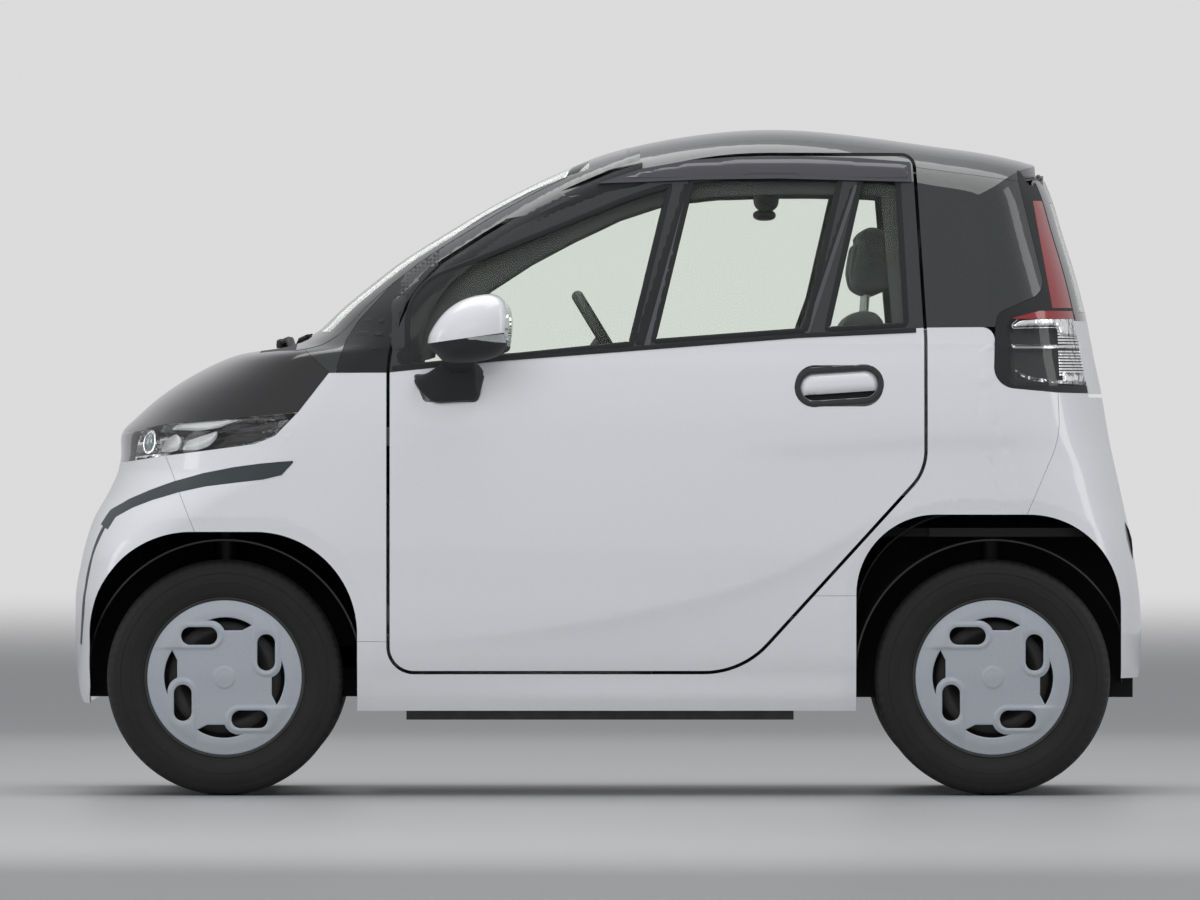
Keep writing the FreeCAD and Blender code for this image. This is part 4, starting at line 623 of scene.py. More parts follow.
def both_sides(name, shapes, materials, bodies=("root",), instead_of=(), crease=32.0):
    """Pieces from left-side shapes and their mirror images, on one body or one for each side."""
    sides = (("", (1, -1)),) if len(bodies) == 1 else (("_left", (1,)), ("_right", (-1,)))
    for body, (side, mirrors) in zip(bodies, sides):
        corners, faces, kinds = joined(shapes, mirrors)
        mesh = bpy.data.meshes.new(name)
        mesh.from_pydata(corners, [], faces)
        for material in materials:
            mesh.materials.append(material)
        mesh.polygons.foreach_set("material_index", kinds)
        smooth(mesh, crease)
        piece(name + side, mesh, body, [node + side for node in instead_of])


def view(*places):
    """Side-view places in millimetres from places in the 1200 by 900 side view."""
    return [((across - MIDDLE_AT) * VIEW_SCALE, HUB_HIGH + (HUBS_AT - down) * VIEW_SCALE)
            for across, down in places]


def oval(centre, reach, radius, count=20):
    """Stadium tilted like the handle, in millimetres."""
    points = []
    for k in range(2 * count):
        turn = math.pi / 2 - math.pi * (k % count) / (count - 1)
        if k < count:
            local = (reach + radius * math.cos(turn), radius * math.sin(turn))
        else:
            local = (-reach - radius * math.cos(turn), -radius * math.sin(turn))
        points.append((centre[0] + local[0] * math.cos(TILT) - local[1] * math.sin(TILT),
                       centre[1] + local[0] * math.sin(TILT) + local[1] * math.cos(TILT)))
    return points


# Moulded plastic has a fine grain of small cells, and its colour and gloss vary a little.
GRAIN_EDGE = 0.35
tree, given, made = effect("moulded_grain", (("Scale", 900.0), ("Depth", 0.0004)),
                           (("Height", "Float"), ("Mask", "Float")))
place = add(tree, "ShaderNodeTexCoord")
cells = add(tree, "ShaderNodeTexVoronoi", feature="DISTANCE_TO_EDGE")
tree.links.new(place.outputs["Object"], cells.inputs["Vector"])
tree.links.new(given.outputs["Scale"], cells.inputs["Scale"])
clouds = add(tree, "ShaderNodeTexNoise", Scale=14.0, Detail=4.0)
tree.links.new(place.outputs["Object"], clouds.inputs["Vector"])
tree.links.new(math_node(tree, "MULTIPLY", math_node(tree, "MINIMUM", cells.outputs["Distance"], GRAIN_EDGE),
                         given.outputs["Depth"]), made.inputs["Height"])
tree.links.new(clouds.outputs["Fac"], made.inputs["Mask"])
grain_effect = tree


def moulded(name, colour, roughness, scale=900.0, depth=0.0004, film=0.2, **values):
    """Grained plastic whose gloss and colour vary a little, with road film near the ground."""
    made, tree, shader = finish(name, colour, roughness, **values)
    grain = grouped(tree, grain_effect, Scale=scale, Depth=depth)
    darker = tuple(0.82 * part for part in colour) + (1,)
    clean = blend_colours(tree, grain.outputs["Mask"], darker, (*colour, 1))
    tree.links.new(dusty(tree, clean, 0.6, film), shader.inputs["Base Color"])
    vary = add(tree, "ShaderNodeMapRange", To_Min=roughness - 0.06, To_Max=roughness + 0.08)
    tree.links.new(grain.outputs["Mask"], vary.inputs["Value"])
    tree.links.new(vary.outputs[0], shader.inputs["Roughness"])
    raised(tree, shader, grain.outputs["Height"])
    return made


gloss_black = paint("gloss_black_lacquer", (0.006, 0.0062, 0.0068), (0.02, 0.02, 0.022), 0.2, 0.12, film=0.05)
dark_plastic = moulded("grained_black_plastic", (0.018, 0.019, 0.020), 0.58)
bright_line = finish("bright_trim_line", (0.62, 0.63, 0.65), 0.2, Metallic=1.0)[0]
HANDLE = view((839, 385))[0]
HANDLE_REACH = 58
grip_outline = [point for point in oval(HANDLE, HANDLE_REACH, 30.5)
                if (point[1] - HANDLE[1]) - (point[0] - HANDLE[0]) * math.tan(TILT) > -17]
handle_shapes = [
    (plate(oval(HANDLE, HANDLE_REACH, 46.5), -2.2, 16, holes=[oval(HANDLE, HANDLE_REACH, 31.5)], cell=4.0,
           edge=6.0, edge_drop=2.6), 0),
    (plate(oval(HANDLE, HANDLE_REACH, 32.2), 2.2, 1.0, holes=[oval(HANDLE, HANDLE_REACH, 30.9)], cell=3.5,
           edge=0.6, edge_drop=0.2), 1),
    (plate(oval(HANDLE, HANDLE_REACH, 33), 22, 3, cell=7), 2),
    (plate(grip_outline, -1.0, 13, cell=4.5, edge=16, edge_drop=8.0, dome=2.0), 3),
]
both_sides("door_handle_dressed", handle_shapes, (gloss_black, bright_line, dark_plastic, white_paint), DOORS,
           ("door_handle",))

# Side windows: each door has two dark upright bars over its glass, one edge of each a grey ribbed
# guide, and a black strip along the belt. A smoked visor is taped along the top of the opening.
bars = []
for outline, drop, kind in (
        (view((682, 181), (694, 181), (652, 346), (631, 346)), -0.5, 0),
        (view((689, 182), (693, 182), (650, 345), (644, 345)), -2.0, 1),
        (view((850, 183), (859, 183), (811, 333), (797, 334)), -0.5, 0),
        (view((854.5, 184), (858, 184), (809.5, 332), (804.5, 333)), -2.0, 1)):
    bars.append((plate(outline, drop, 6, cell=10, edge=3, edge_drop=1.2, pressed=False), kind))
belt = view((392, 366.5), (500, 357), (631, 347), (797, 334), (916, 328.5))
belt_low = [(x, z - 8) for x, z in belt]
belt = [(x, z + 3) for x, z in belt]
bars.append((plate(belt + belt_low[::-1], -3.0, 7, cell=10, edge=3, edge_drop=1.5, pressed=False), 0))
bar_grey = moulded("window_guide_grey", (0.10, 0.102, 0.11), 0.45, scale=1200.0, depth=0.0002,
                   film=0.0)
both_sides("window_bars", bars, (dark_plastic, bar_grey), DOORS)
visor_top = view((597, 182.5), (640, 168), (690, 159), (740, 155.5), (800, 155), (860, 157), (911, 161))
visor_low = view((912, 181), (860, 179.5), (780, 177.5), (700, 178.5), (640, 181))
visor = plate(rounded(visor_top + visor_low, 6), -10, 2.5, cell=10, edge=14, edge_drop=9.0, pressed=False)
visor_grey = paint("smoked_visor_plastic", (0.055, 0.055, 0.066), (0.12, 0.12, 0.14), 0.2, 0.22, film=0.0)
both_sides("rain_visor", [(visor, 0)], (visor_grey,), DOORS)

# Vent panels: three louvres stand on each grained panel ahead of the door. They are slim blades of
# black plastic, moulded in one with the panel.
louvres = []
for x0, y0, x1, y1 in ((360, 317, 389, 321), (354, 330, 388, 334), (348, 344, 384, 348)):
    blade = view((x0 + 4, y0), (x1, y0 + 1.5), (x1 - 3, y1 + 1.5), (x0, y1 + 1))
    louvres.append((plate(rounded(blade, 4), -2.5, 5, cell=6, edge=5, edge_drop=2.5, pressed=False), 0))
both_sides("vent_louvres", louvres, (dark_plastic,), ("root",))

# Headlamps: the carried-over outer skin becomes a clear cover. Behind it a black housing holds a
# round projector, two petal reflectors and a pale upper band, all plated mouldings.
HOUSING_EDGE, HOUSING_GAP, FACES_LENS, NEAR_FORM = 0.012, 0.0045, 0.75, 0.004
HEADLAMP_DEEP, HEADLAMP_REACH, PROJECTOR_DEEP = 0.050, 0.045, 0.036
PLATING_WAVE = 0.002
chrome, tree, shader = finish("plated_reflector", (0.80, 0.81, 0.82), 0.16, Metallic=1.0)
place = add(tree, "ShaderNodeTexCoord")
waves = add(tree, "ShaderNodeTexNoise", Scale=55.0, Detail=2.0)
tree.links.new(place.outputs["Object"], waves.inputs["Vector"])
raised(tree, shader, math_node(tree, "MULTIPLY", waves.outputs["Fac"], PLATING_WAVE))
pale_reflector = moulded("pale_reflector", (0.66, 0.68, 0.68), 0.30, scale=300.0, depth=0.0006, film=0.0,
                         Metallic=0.5)


def bowl(node, name, deep, reach, material, top=None):
    """Black housing behind a lamp's cover: its outer face pushed inwards, least at its border."""
    draft = draft_of(node)
    points = np.array([vert.co for vert in draft.verts])
    gap, normal = side_gap(points)
    gone = []
    for face in draft.faces:
        own = [vert.index for vert in face.verts]
        outward = np.array(face.normal) @ normal[own].mean(0)
        if (outward < FACES_LENS or np.abs(gap[own]).max() > NEAR_FORM
                or (top and face.calc_center_median().z >= top)):
            gone.append(face)
    bmesh.ops.delete(draft, geom=gone, context="FACES")
    divide(draft, HOUSING_EDGE, 3)
    draft.verts.ensure_lookup_table()
    points = np.array([vert.co for vert in draft.verts])
    border = points[[vert.index for vert in draft.verts if vert.is_boundary]]
    normal = side_gap(points)[1]
    near = np.array([np.min(np.linalg.norm(border - point, axis=1)) for point in points])
    share = np.clip(near / reach, 0, 1)
    push = HOUSING_GAP + deep * np.sqrt(1 - (1 - share) ** 2)
    for vert, move in zip(draft.verts, push[:, None] * normal):
        vert.co = Vector(vert.co) - Vector(move)
    mesh = bpy.data.meshes.new(name)
    draft.to_mesh(mesh)
    draft.free()
    mesh.validate()
    mesh.materials.append(material)
    mesh.polygons.foreach_set("use_smooth", [True] * len(mesh.polygons))
    return piece(name, mesh, "root")


def wrapped(rows, count, closed=False):
    """Faces round rows of corners, with flat ends unless the last row joins the first."""
    faces = []
    for j in range(rows if closed else rows - 1):
        here, after = j * count, (j + 1) % rows * count
        for k in range(count):
            n = (k + 1) % count
            faces.append((here + k, here + n, after + n, after + k))
    if not closed:
        faces += [tuple(reversed(range(count))), tuple(range((rows - 1) * count, rows * count))]
    return faces


def tube(points, radius, sides=10):
    """Corners and faces of a closed round bar along a line of points in metres."""
    points = np.array(points, float)
    ahead = np.gradient(points, axis=0)
    ahead[np.linalg.norm(ahead, axis=1) < 1e-9] = points[-1] - points[0]
    ahead /= np.linalg.norm(ahead, axis=1)[:, None]
    across = np.cross(ahead, (0, 0, 1.0) if abs(ahead[0][2]) < 0.9 else (0, 1.0, 0))
    across /= np.linalg.norm(across, axis=1)[:, None]
    other = np.cross(ahead, across)
    turn = np.linspace(0, 2 * math.pi, sides, endpoint=False)
    radii = np.broadcast_to(radius, len(points))
    spoke = np.cos(turn)[None, :, None] * across[:, None] + np.sin(turn)[None, :, None] * other[:, None]
    corners = (points[:, None] + radii[:, None, None] * spoke).reshape(-1, 3)
    return corners, wrapped(len(points), sides)


bowl("headlamps", "headlamp_housings", HEADLAMP_DEEP, HEADLAMP_REACH, gloss_black)
lens_x, lens_z = (value / 1000 for value in view((152, 443))[0])
lens_middle = np.array((lens_x, -half_at(lens_x, lens_z) + PROJECTOR_DEEP, lens_z))
facing = np.array((-0.72, -0.68, 0.12))
facing /= np.linalg.norm(facing)
lamp_parts = []
barrel = [lens_middle + facing * out for out in (-0.020, -0.004, 0.003, 0.004, 0.004)]
lamp_parts.append((tube(barrel, (0.028, 0.028, 0.027, 0.0255, 0.021), 40), 1))
bead_turns = np.linspace(0, 1.5, 9)
bead = [lens_middle + facing * (0.004 + 0.010 * math.sin(a)) for a in bead_turns]
lamp_parts.append((tube(bead, [0.0208 * math.cos(a) + 0.0002 for a in bead_turns], 40), 2))
for outline, depth, dome_by, kind in (
        (view((167, 440), (178, 434), (184, 440), (180, 450), (172, 452), (162, 452)), 19, 5, 0),
        (view((183, 450), (188, 441), (200, 437), (219, 431), (218, 438), (210, 446), (198, 450)), 16, 5, 0),
        (view((171, 430), (180, 423), (200, 418), (225, 415), (249, 418), (232, 423), (219, 428),
              (200, 431)), 12, 3, 0),
        (view((170, 455), (200, 452), (240, 448), (262, 443), (255, 446), (235, 451), (200, 455)), 10, 1, 1)):
    lamp_parts.append((plate(rounded(outline, 8), depth, 3, cell=5, edge=7, edge_drop=3, dome=dome_by,
                             pressed=False), kind))
glass_bead = finish("projector_lens", (0.25, 0.30, 0.30), 0.04, Coat_Weight=1.0, Metallic=0.4)[0]
both_sides("headlamp_reflectors", lamp_parts, (pale_reflector, chrome, glass_bead), ("root",))

# Rear lamps: a clear lower lamp, with a bright bar between two plated shelves and fine ribs
# towards the tail, and a slim red strip above it. Both sit in the gloss black pillar.
RED_FROM = 1.105
bowl("tail_lamps", "rear_lamp_housings", 0.022, 0.022, dark_plastic, top=RED_FROM)
rear_parts = []
shelf = view((1011, 324), (1018, 318), (1035, 313.5), (1055, 311), (1070, 309), (1077, 315), (1080, 328),
             (1079, 338), (1060, 336), (1056, 327), (1012, 328))
rear_parts.append((plate(rounded(shelf, 5), 7, 3, cell=5, edge=8, edge_drop=4, dome=3, pressed=False), 0))
base_shelf = view((1014, 369), (1030, 376), (1050, 379), (1062, 380), (1062, 372), (1086, 372), (1088, 378),
                  (1084, 384), (1060, 383), (1035, 381), (1020, 377))
base_plate = plate(rounded(base_shelf, 4), 7, 3, cell=5, edge=7, edge_drop=3, dome=2, pressed=False)
rear_parts.append((base_plate, 0))
bright_bar = view((1011, 344), (1080, 344), (1081, 348.5), (1012, 348.5))
rear_parts.append((plate(bright_bar, 5, 4, cell=4, edge=4, edge_drop=3, pressed=False), 0))
for k in range(17):
    top, near, far = 327 + 2.9 * k, 1057 + 0.12 * k, 1080 + 0.45 * k
    if not 342 < top < 349:
        rib = view((near, top), (far, top), (far + 0.5, top + 1.6), (near, top + 1.6))
        rear_parts.append((plate(rib, 8, 3, cell=5, edge=1.8, edge_drop=1.4, pressed=False), 0))
both_sides("rear_lamp_reflectors", rear_parts, (chrome,), ("root",))


def split(draft, place, across):
    """Cuts a draft's faces along a plane, and keeps both sides."""
    bmesh.ops.bisect_plane(draft, geom=draft.verts[:] + draft.edges[:] + draft.faces[:], plane_co=place,
                           plane_no=across)


def two_tone(node, name, level, below, above, degrees):
    """Copy of a node with one finish below a height and another above it."""
    draft = draft_of(node)
    split(draft, (0, 0, level), (0, 0, 1))
    mesh = bpy.data.meshes.new(name)
    draft.to_mesh(mesh)
    draft.free()
    mesh.materials.append(below)
    mesh.materials.append(above)
    mesh.polygons.foreach_set("material_index", [int(face.center.z > level) for face in mesh.polygons])
    smooth(mesh, degrees)
    return mesh


def clear_part(name, tint, **values):
    """Glass or clear plastic, with its shadow let through so that what lies behind stays lit."""
    made, tree, shader = finish(name, tint, 0.0, Transmission_Weight=1.0, **{"IOR": 1.45, **values})
    through = add(tree, "ShaderNodeBsdfTransparent", Color=(*tint, 1))
    ray = add(tree, "ShaderNodeLightPath")
    chooser = add(tree, "ShaderNodeMixShader")
    tree.links.new(ray.outputs["Is Shadow Ray"], chooser.inputs[0])
    tree.links.new(shader.outputs[0], chooser.inputs[1])
    tree.links.new(through.outputs[0], chooser.inputs[2])
    tree.links.new(chooser.outputs[0], tree.nodes["Material Output"].inputs["Surface"])
    smear = add(tree, "ShaderNodeTexNoise", Scale=6.0, Detail=5.0)
    place = add(tree, "ShaderNodeTexCoord")
    tree.links.new(place.outputs["Object"], smear.inputs["Vector"])
    hazy = add(tree, "ShaderNodeMapRange", From_Min=0.45, From_Max=0.8, To_Min=0.0, To_Max=0.03)
    tree.links.new(smear.outputs["Fac"], hazy.inputs["Value"])
    tree.links.new(hazy.outputs[0], shader.inputs["Roughness"])
    return made


lens_clear = clear_part("clear_lamp_lens", (0.97, 0.98, 0.985))
red_gloss = paint("red_lamp_strip", (0.30, 0.004, 0.008), (0.7, 0.05, 0.05), 0.3, 0.15, film=0.0)
covers = two_tone("tail_lamps", "rear_lamp_covers", RED_FROM, lens_clear, red_gloss, 30)
piece("rear_lamp_covers", covers, "root", ("tail_lamps",))

# Door mirrors: a white domed cap over a dark lower shell, a clear signal lens along their joint,
# a mirror glass facing the seats and a faceted black foot screwed to the door.
PARTING = view((428, 343), (509.5, 331.5))
CAP_LINE = view((429, 336), (434, 326), (441, 316), (451, 306.5), (463, 299.5), (476, 295.2), (489, 293.5),
                (498, 295.5), (504.5, 300.5), (508.5, 308), (510, 318), (510, 325))
SHELL_LINE = view((508.5, 341), (506, 349), (500, 355), (488, 359.5), (470, 362.5), (455, 363), (444, 361),
                  (437, 354.5), (431, 348))
LENS_LINE = view((508, 339), (506, 343.5), (490, 344.8), (475, 345), (467, 342.5), (462, 337.8))
MIRROR_Y, MIRROR_HALF = 748.0, 80.0
mirror_middle = np.mean(PARTING, axis=0)


def dome_loft(line, ends, grow=1.0, rows=19, power=2.5):
    """Closed form whose side-view outline shrinks towards both ends of its width."""
    first, last = ends if line[0][0] < line[-1][0] else ends[::-1]
    outline = np.array([first, *line, last], float)
    corners = []
    for j in range(rows):
        share = -math.cos(math.pi * j / (rows - 1))
        shrink = grow * max(0.02, (1 - abs(share) ** power)) ** (1 / power)
        flat = mirror_middle + (outline - mirror_middle) * shrink
        y = -(MIRROR_Y + MIRROR_HALF * share * min(1.0, grow))
        corners += [(a / 1000, y / 1000, b / 1000) for a, b in flat]
    return corners, wrapped(rows, len(outline))


def dense(line, times=3):
    """Open line with points added by a smooth curve through it."""
    fine = np.linspace(0, len(line) - 1, times * (len(line) - 1) + 1)
    return list(zip(*(follow(list(enumerate(values)), fine) for values in zip(*line))))


FOOT = view((442.6, 362.7), (440.7, 370.4), (418.7, 374.2), (413.4, 379.9), (418.7, 388.5), (432, 401),
            (439.7, 402.4), (476, 400), (479.9, 396.2), (483.7, 370.4), (477, 361.8))


def resample(outline, count):
    """Closed outline as evenly spaced points."""
    ring = np.array(list(outline) + [outline[0]], float)
    lengths = np.concatenate(([0], np.cumsum(np.linalg.norm(np.diff(ring, axis=0), axis=1))))
    marks = np.linspace(0, lengths[-1], count, endpoint=False)
    return np.stack([np.interp(marks, lengths, ring[:, 0]), np.interp(marks, lengths, ring[:, 1])], axis=1)


FOOT_STEPS = 48
foot_ring = resample(rounded(FOOT, 6), FOOT_STEPS)
foot_skin = half_width(foot_ring[:, 0] / 1000, foot_ring[:, 1] / 1000) * 1000
centre = foot_ring.mean(0)
around = foot_ring - centre
neck_centre, high_centre = (np.array(place) for place in view((461, 364), (464, 352)))
neck_ring = neck_centre + around * np.array((0.50, 0.42))
high_ring = high_centre + around * np.array((0.42, 0.30))
sections = [(foot_ring, -foot_skin + 6), (foot_ring, -foot_skin - 3),
            (centre + around * 0.93, -foot_skin - 11),
            (centre * 0.75 + neck_centre * 0.25 + around * 0.78, -foot_skin - 20),
            (neck_ring, np.full(FOOT_STEPS, -foot_skin.mean() - 34)),
            (high_ring, np.full(FOOT_STEPS, -705.0)), (high_ring + (0, 14), np.full(FOOT_STEPS, -722.0))]
foot_corners = [(a / 1000, y / 1000, b / 1000)
                for ring, depths in sections for (a, b), y in zip(ring, depths)]


def bent(value, power):
    """Sine or cosine bent outwards, so that an oval grows squarer as the power falls below 1."""
    return math.copysign(abs(value) ** power, value)


GLASS_STEPS, GLASS_X, GLASS_HIGH, GLASS_THICK = 40, -0.2318, 1.0850, 0.012
glass_ring = [(GLASS_X, -(MIRROR_Y + 46 * bent(math.cos(a), 0.6)) / 1000,
               GLASS_HIGH + 0.032 * bent(math.sin(a), 0.6))
              for a in np.linspace(0, 2 * math.pi, GLASS_STEPS, endpoint=False)]
glass_face = (glass_ring + [(x - GLASS_THICK, y, z) for x, y, z in glass_ring], wrapped(2, GLASS_STEPS))
lens_start, lens_stop, lens_left, lens_right = view((508.6, 334), (462, 339), (461, 339.5), (509, 333))
mirror_shapes = [
    (dome_loft(dense([PARTING[0], *CAP_LINE, PARTING[1]])[1:-1], PARTING), 0),
    (dome_loft(dense([PARTING[1], *SHELL_LINE, PARTING[0]])[1:-1][::-1], PARTING, grow=0.985), 1),
    (dome_loft(dense([lens_start, *LENS_LINE, lens_stop])[::-1], (lens_left, lens_right), grow=1.014), 2),
    ((foot_corners, wrapped(len(sections), FOOT_STEPS)), 1),
    (glass_face, 3),
]
silvered = finish("silvered_mirror", (0.85, 0.86, 0.87), 0.02, Metallic=1.0)[0]
signal_lens = paint("clear_signal_lens", (0.42, 0.44, 0.44), (0.8, 0.8, 0.8), 0.5, 0.12, film=0.0,
                    Metallic=0.4)
both_sides("door_mirror_dressed", mirror_shapes, (white_paint, dark_plastic, signal_lens, silvered), DOORS,
           ("mirror",), crease=40.0)

# Windscreen edge: a black border baked on round the inside of the glass hides the bond to the
# body, all the way round the screen.
SCREEN_BORDER, SCREEN_TOP, SCREEN_FOOT = 0.462, -0.045, 1.075
BORDER_OUT, BORDER_THICK = 0.0008, 0.0006


def outer_faces(node, keep, cuts=()):
    """Outer skin of a node as a draft, cut along planes of (point, normal) and kept by a test."""
    draft = draft_of(node)
    for point, normal in cuts:
        split(draft, point, normal)
    draft.normal_update()
    bmesh.ops.delete(draft, geom=[face for face in draft.faces if not keep(face)], context="FACES")
    return draft


def on_border(face):
    """Whether a face of the windscreen's outer skin lies on its border."""
    x, y, z = face.calc_center_median()
    return face.normal.z > 0.2 and face.normal.x < 0.2 and (
        abs(y) > SCREEN_BORDER or x > SCREEN_TOP or z < SCREEN_FOOT)


draft = outer_faces("windscreen", on_border,
                    (((0, SCREEN_BORDER, 0), (0, 1, 0)), ((0, -SCREEN_BORDER, 0), (0, 1, 0)),
                     ((SCREEN_TOP, 0, 0), (1, 0, 0)), ((0, 0, SCREEN_FOOT), (0, 0, 1))))
draft.normal_update()
for vert in draft.verts:
    vert.co += vert.normal * BORDER_OUT
bmesh.ops.solidify(draft, geom=draft.faces[:], thickness=BORDER_THICK)
border = bpy.data.meshes.new("windscreen_border")
draft.to_mesh(border)
draft.free()
border.materials.append(gloss_black)
smooth(border, 30)
piece("windscreen_border", border, "root")

# Window seals: a soft black rubber strip, extruded in one length, is pressed over the edge of each
# side pane and runs all the way round it.
SEAL_RADIUS, SEAL_INSET = 0.0075, 0.0015


def pane_loops(node, facing=0.6):
    """Border loops of a thin pane's outer face, on the left side."""
    draft = outer_faces(node, lambda face: face.normal.y < -facing and face.calc_center_median().y < 0)
    ahead = {}
    for edge in draft.edges:
        if len(edge.link_faces) == 1:
            a, b = edge.verts
            ahead.setdefault(a.index, []).append(b.index)
            ahead.setdefault(b.index, []).append(a.index)
    places = {vert.index: np.array(vert.co) for vert in draft.verts}
    draft.free()
    loops = []
    left = set(ahead)
    while left:
        start = left.pop()
        loop = [start]
        while True:
            following = [n for n in ahead[loop[-1]] if n in left]
            if not following:
                break
            loop.append(following[0])
            left.discard(following[0])
        if len(loop) > 8:
            loops.append(np.array([places[k] for k in loop]))
    return loops


def evenly(points, spacing):
    """Points at even steps along a closed loop."""
    ring = np.vstack([points, points[:1]])
    lengths = np.concatenate(([0], np.cumsum(np.linalg.norm(np.diff(ring, axis=0), axis=1))))
    count = max(12, int(lengths[-1] / spacing))
    marks = np.linspace(0, lengths[-1], count, endpoint=False)
    return np.stack([np.interp(marks, lengths, ring[:, k]) for k in range(3)], axis=1)


def seal_ring(points, radius, spacing=0.012, sides=8, flat=1.0, out=(0.0, -1.0, 0.0)):
    """Closed round strip along a loop of points, flattened along its outward direction."""
    line = evenly(points, spacing)
    ahead = np.roll(line, -1, axis=0) - np.roll(line, 1, axis=0)
    ahead /= np.linalg.norm(ahead, axis=1)[:, None]
    outward = np.tile(out, (len(line), 1))
    across = np.cross(ahead, outward)
    size = np.linalg.norm(across, axis=1)[:, None]
    across = np.where(size < 1e-6, (0, 0, 1.0), across / np.maximum(size, 1e-6))
    turns = [2 * math.pi * k / sides for k in range(sides)]
    corners = np.stack([line + across * radius * math.cos(turn) + outward * radius * flat * math.sin(turn)
                        for turn in turns], axis=1).reshape(-1, 3)
    return corners, wrapped(len(line), sides, closed=True)


seals = [(seal_ring(loop + (0, SEAL_INSET, 0), SEAL_RADIUS, flat=0.45), 0)
         for loop in pane_loops("door_glass_left")]
both_sides("window_seals", seals, (dark_plastic,), DOORS)

# Pillar trims: inside the cabin, soft grained plastic mouldings follow the door opening and clip
# over the pillars and the rail above the door.
cabin_plastic = moulded("soft_cabin_plastic", (0.030, 0.031, 0.034), 0.62, film=0.0)
trims = []
for outline in (
        view((398, 352), (417, 318), (440, 292), (470, 266), (520, 237), (560, 216), (610, 196), (660, 184),
             (720, 178), (790, 176), (860, 178), (912, 182), (912, 197), (860, 194), (790, 193), (720, 195),
             (668, 201), (622, 216), (575, 238), (530, 262), (490, 288), (462, 312), (440, 338), (431, 356),
             (405, 362)),
        view((881, 190), (914, 190), (914, 330), (893, 330))):
    trims.append((plate(outline, 46, 14, cell=14, edge=8, edge_drop=4, pressed=False), 0))
both_sides("pillar_trims", trims, (cabin_plastic,), ("root",))

# Roof rails and door frames: smooth dark covers along the screen pillars, with the shut line of
# the door between the painted part on the body and the plastic part on the door.
dark_paint = paint("dark_green_grey_paint", (0.021, 0.025, 0.025), (0.12, 0.14, 0.135), 0.2, 0.36,
                   Metallic=0.2)
SHUT_LINE = ((394, 352), (400, 318), (409, 296), (423, 276.5), (441, 259), (483, 232), (530, 204), (576, 183),
             (610, 168.5), (640, 159))
rail_top = ((640, 149), (609, 160), (576, 172), (530, 190), (483, 215), (436, 246), (405, 268), (391, 300),
            (388, 335))
rail_shape = plate(view(*SHUT_LINE, *rail_top), -0.6, 5, cell=9, edge=4, edge_drop=1.5, pressed=False)
both_sides("rail_covers", [(rail_shape, 0)], (dark_paint,), ("root",))
frame_low = ((640, 183), (600, 195), (560, 211), (520, 231), (480, 257), (452, 281), (434, 305), (424, 330),
             (420, 362), (398, 365))
frame_top = [(x + 2.4, z + 3.0) for x, z in SHUT_LINE]
frame_shape = plate(view(*frame_top, *frame_low), -0.4, 4, cell=9, edge=4, edge_drop=1.5, pressed=False)
both_sides("door_frame_covers", [(frame_shape, 0)], (dark_plastic,), DOORS)

# Tailgate: a single pressing hinged at the roof. Its upper half round the window is finished in
# gloss black and the lower half in white.
GATE_SPLIT = 1.100
gate = two_tone("tailgate", "tailgate_dressed", GATE_SPLIT, white_paint, gloss_black, 25)
piece("tailgate_dressed", gate, cad["tailgate"]["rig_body"], ("tailgate",))

# Tyres: four narrow road tyres with plain ringed sidewalls, a fine-cut shoulder and a tread of
# ribs between straight grooves. Each is moulded rubber, seated on its own wheel.
TYRE_RADIUS = 0.2735
WHEEL_MIDDLE = 0.550
AXLE = 0.890
WHEELS = (("front_left", -AXLE, -1), ("front_right", -AXLE, 1), ("rear_left", AXLE, -1),
          ("rear_right", AXLE, 1))


def mesh_of(name, corners, faces, *materials, crease=32.0):
    """Mesh from corners and faces, smooth except along edges sharper than the crease in degrees."""
    made = bpy.data.meshes.new(name)
    made.from_pydata([tuple(corner) for corner in corners], [], [tuple(face) for face in faces])
    for material in materials:
        made.materials.append(material)
    clean = bmesh.new()
    clean.from_mesh(made)
    bmesh.ops.remove_doubles(clean, verts=clean.verts, dist=1e-6)
    bmesh.ops.recalc_face_normals(clean, faces=clean.faces)
    clean.to_mesh(made)
    clean.free()
    smooth(made, crease)
    return made


def lathe(profile, segments, cuts=None):
    """Closed ring from a closed profile of (outward, radius) turned about the wheel's axle."""
    out, radius = np.array(profile, float).T
    turn = np.linspace(0, 2 * math.pi, segments, endpoint=False)
    radii = np.repeat(radius[:, None], segments, axis=1)
    if cuts is not None:
        radii = radii - cuts(out[:, None], radius[:, None], np.arange(segments)[None, :])
    across = np.repeat(-out[:, None], segments, axis=1)
    corners = np.stack([radii * np.cos(turn), across, radii * np.sin(turn)], axis=2).reshape(-1, 3)
    rows = len(profile)
    faces = []
    for i in range(rows):
        j = (i + 1) % rows
        for k in range(segments):
            n = (k + 1) % segments
            faces.append((i * segments + k, j * segments + k, j * segments + n, i * segments + n))
    return corners, faces


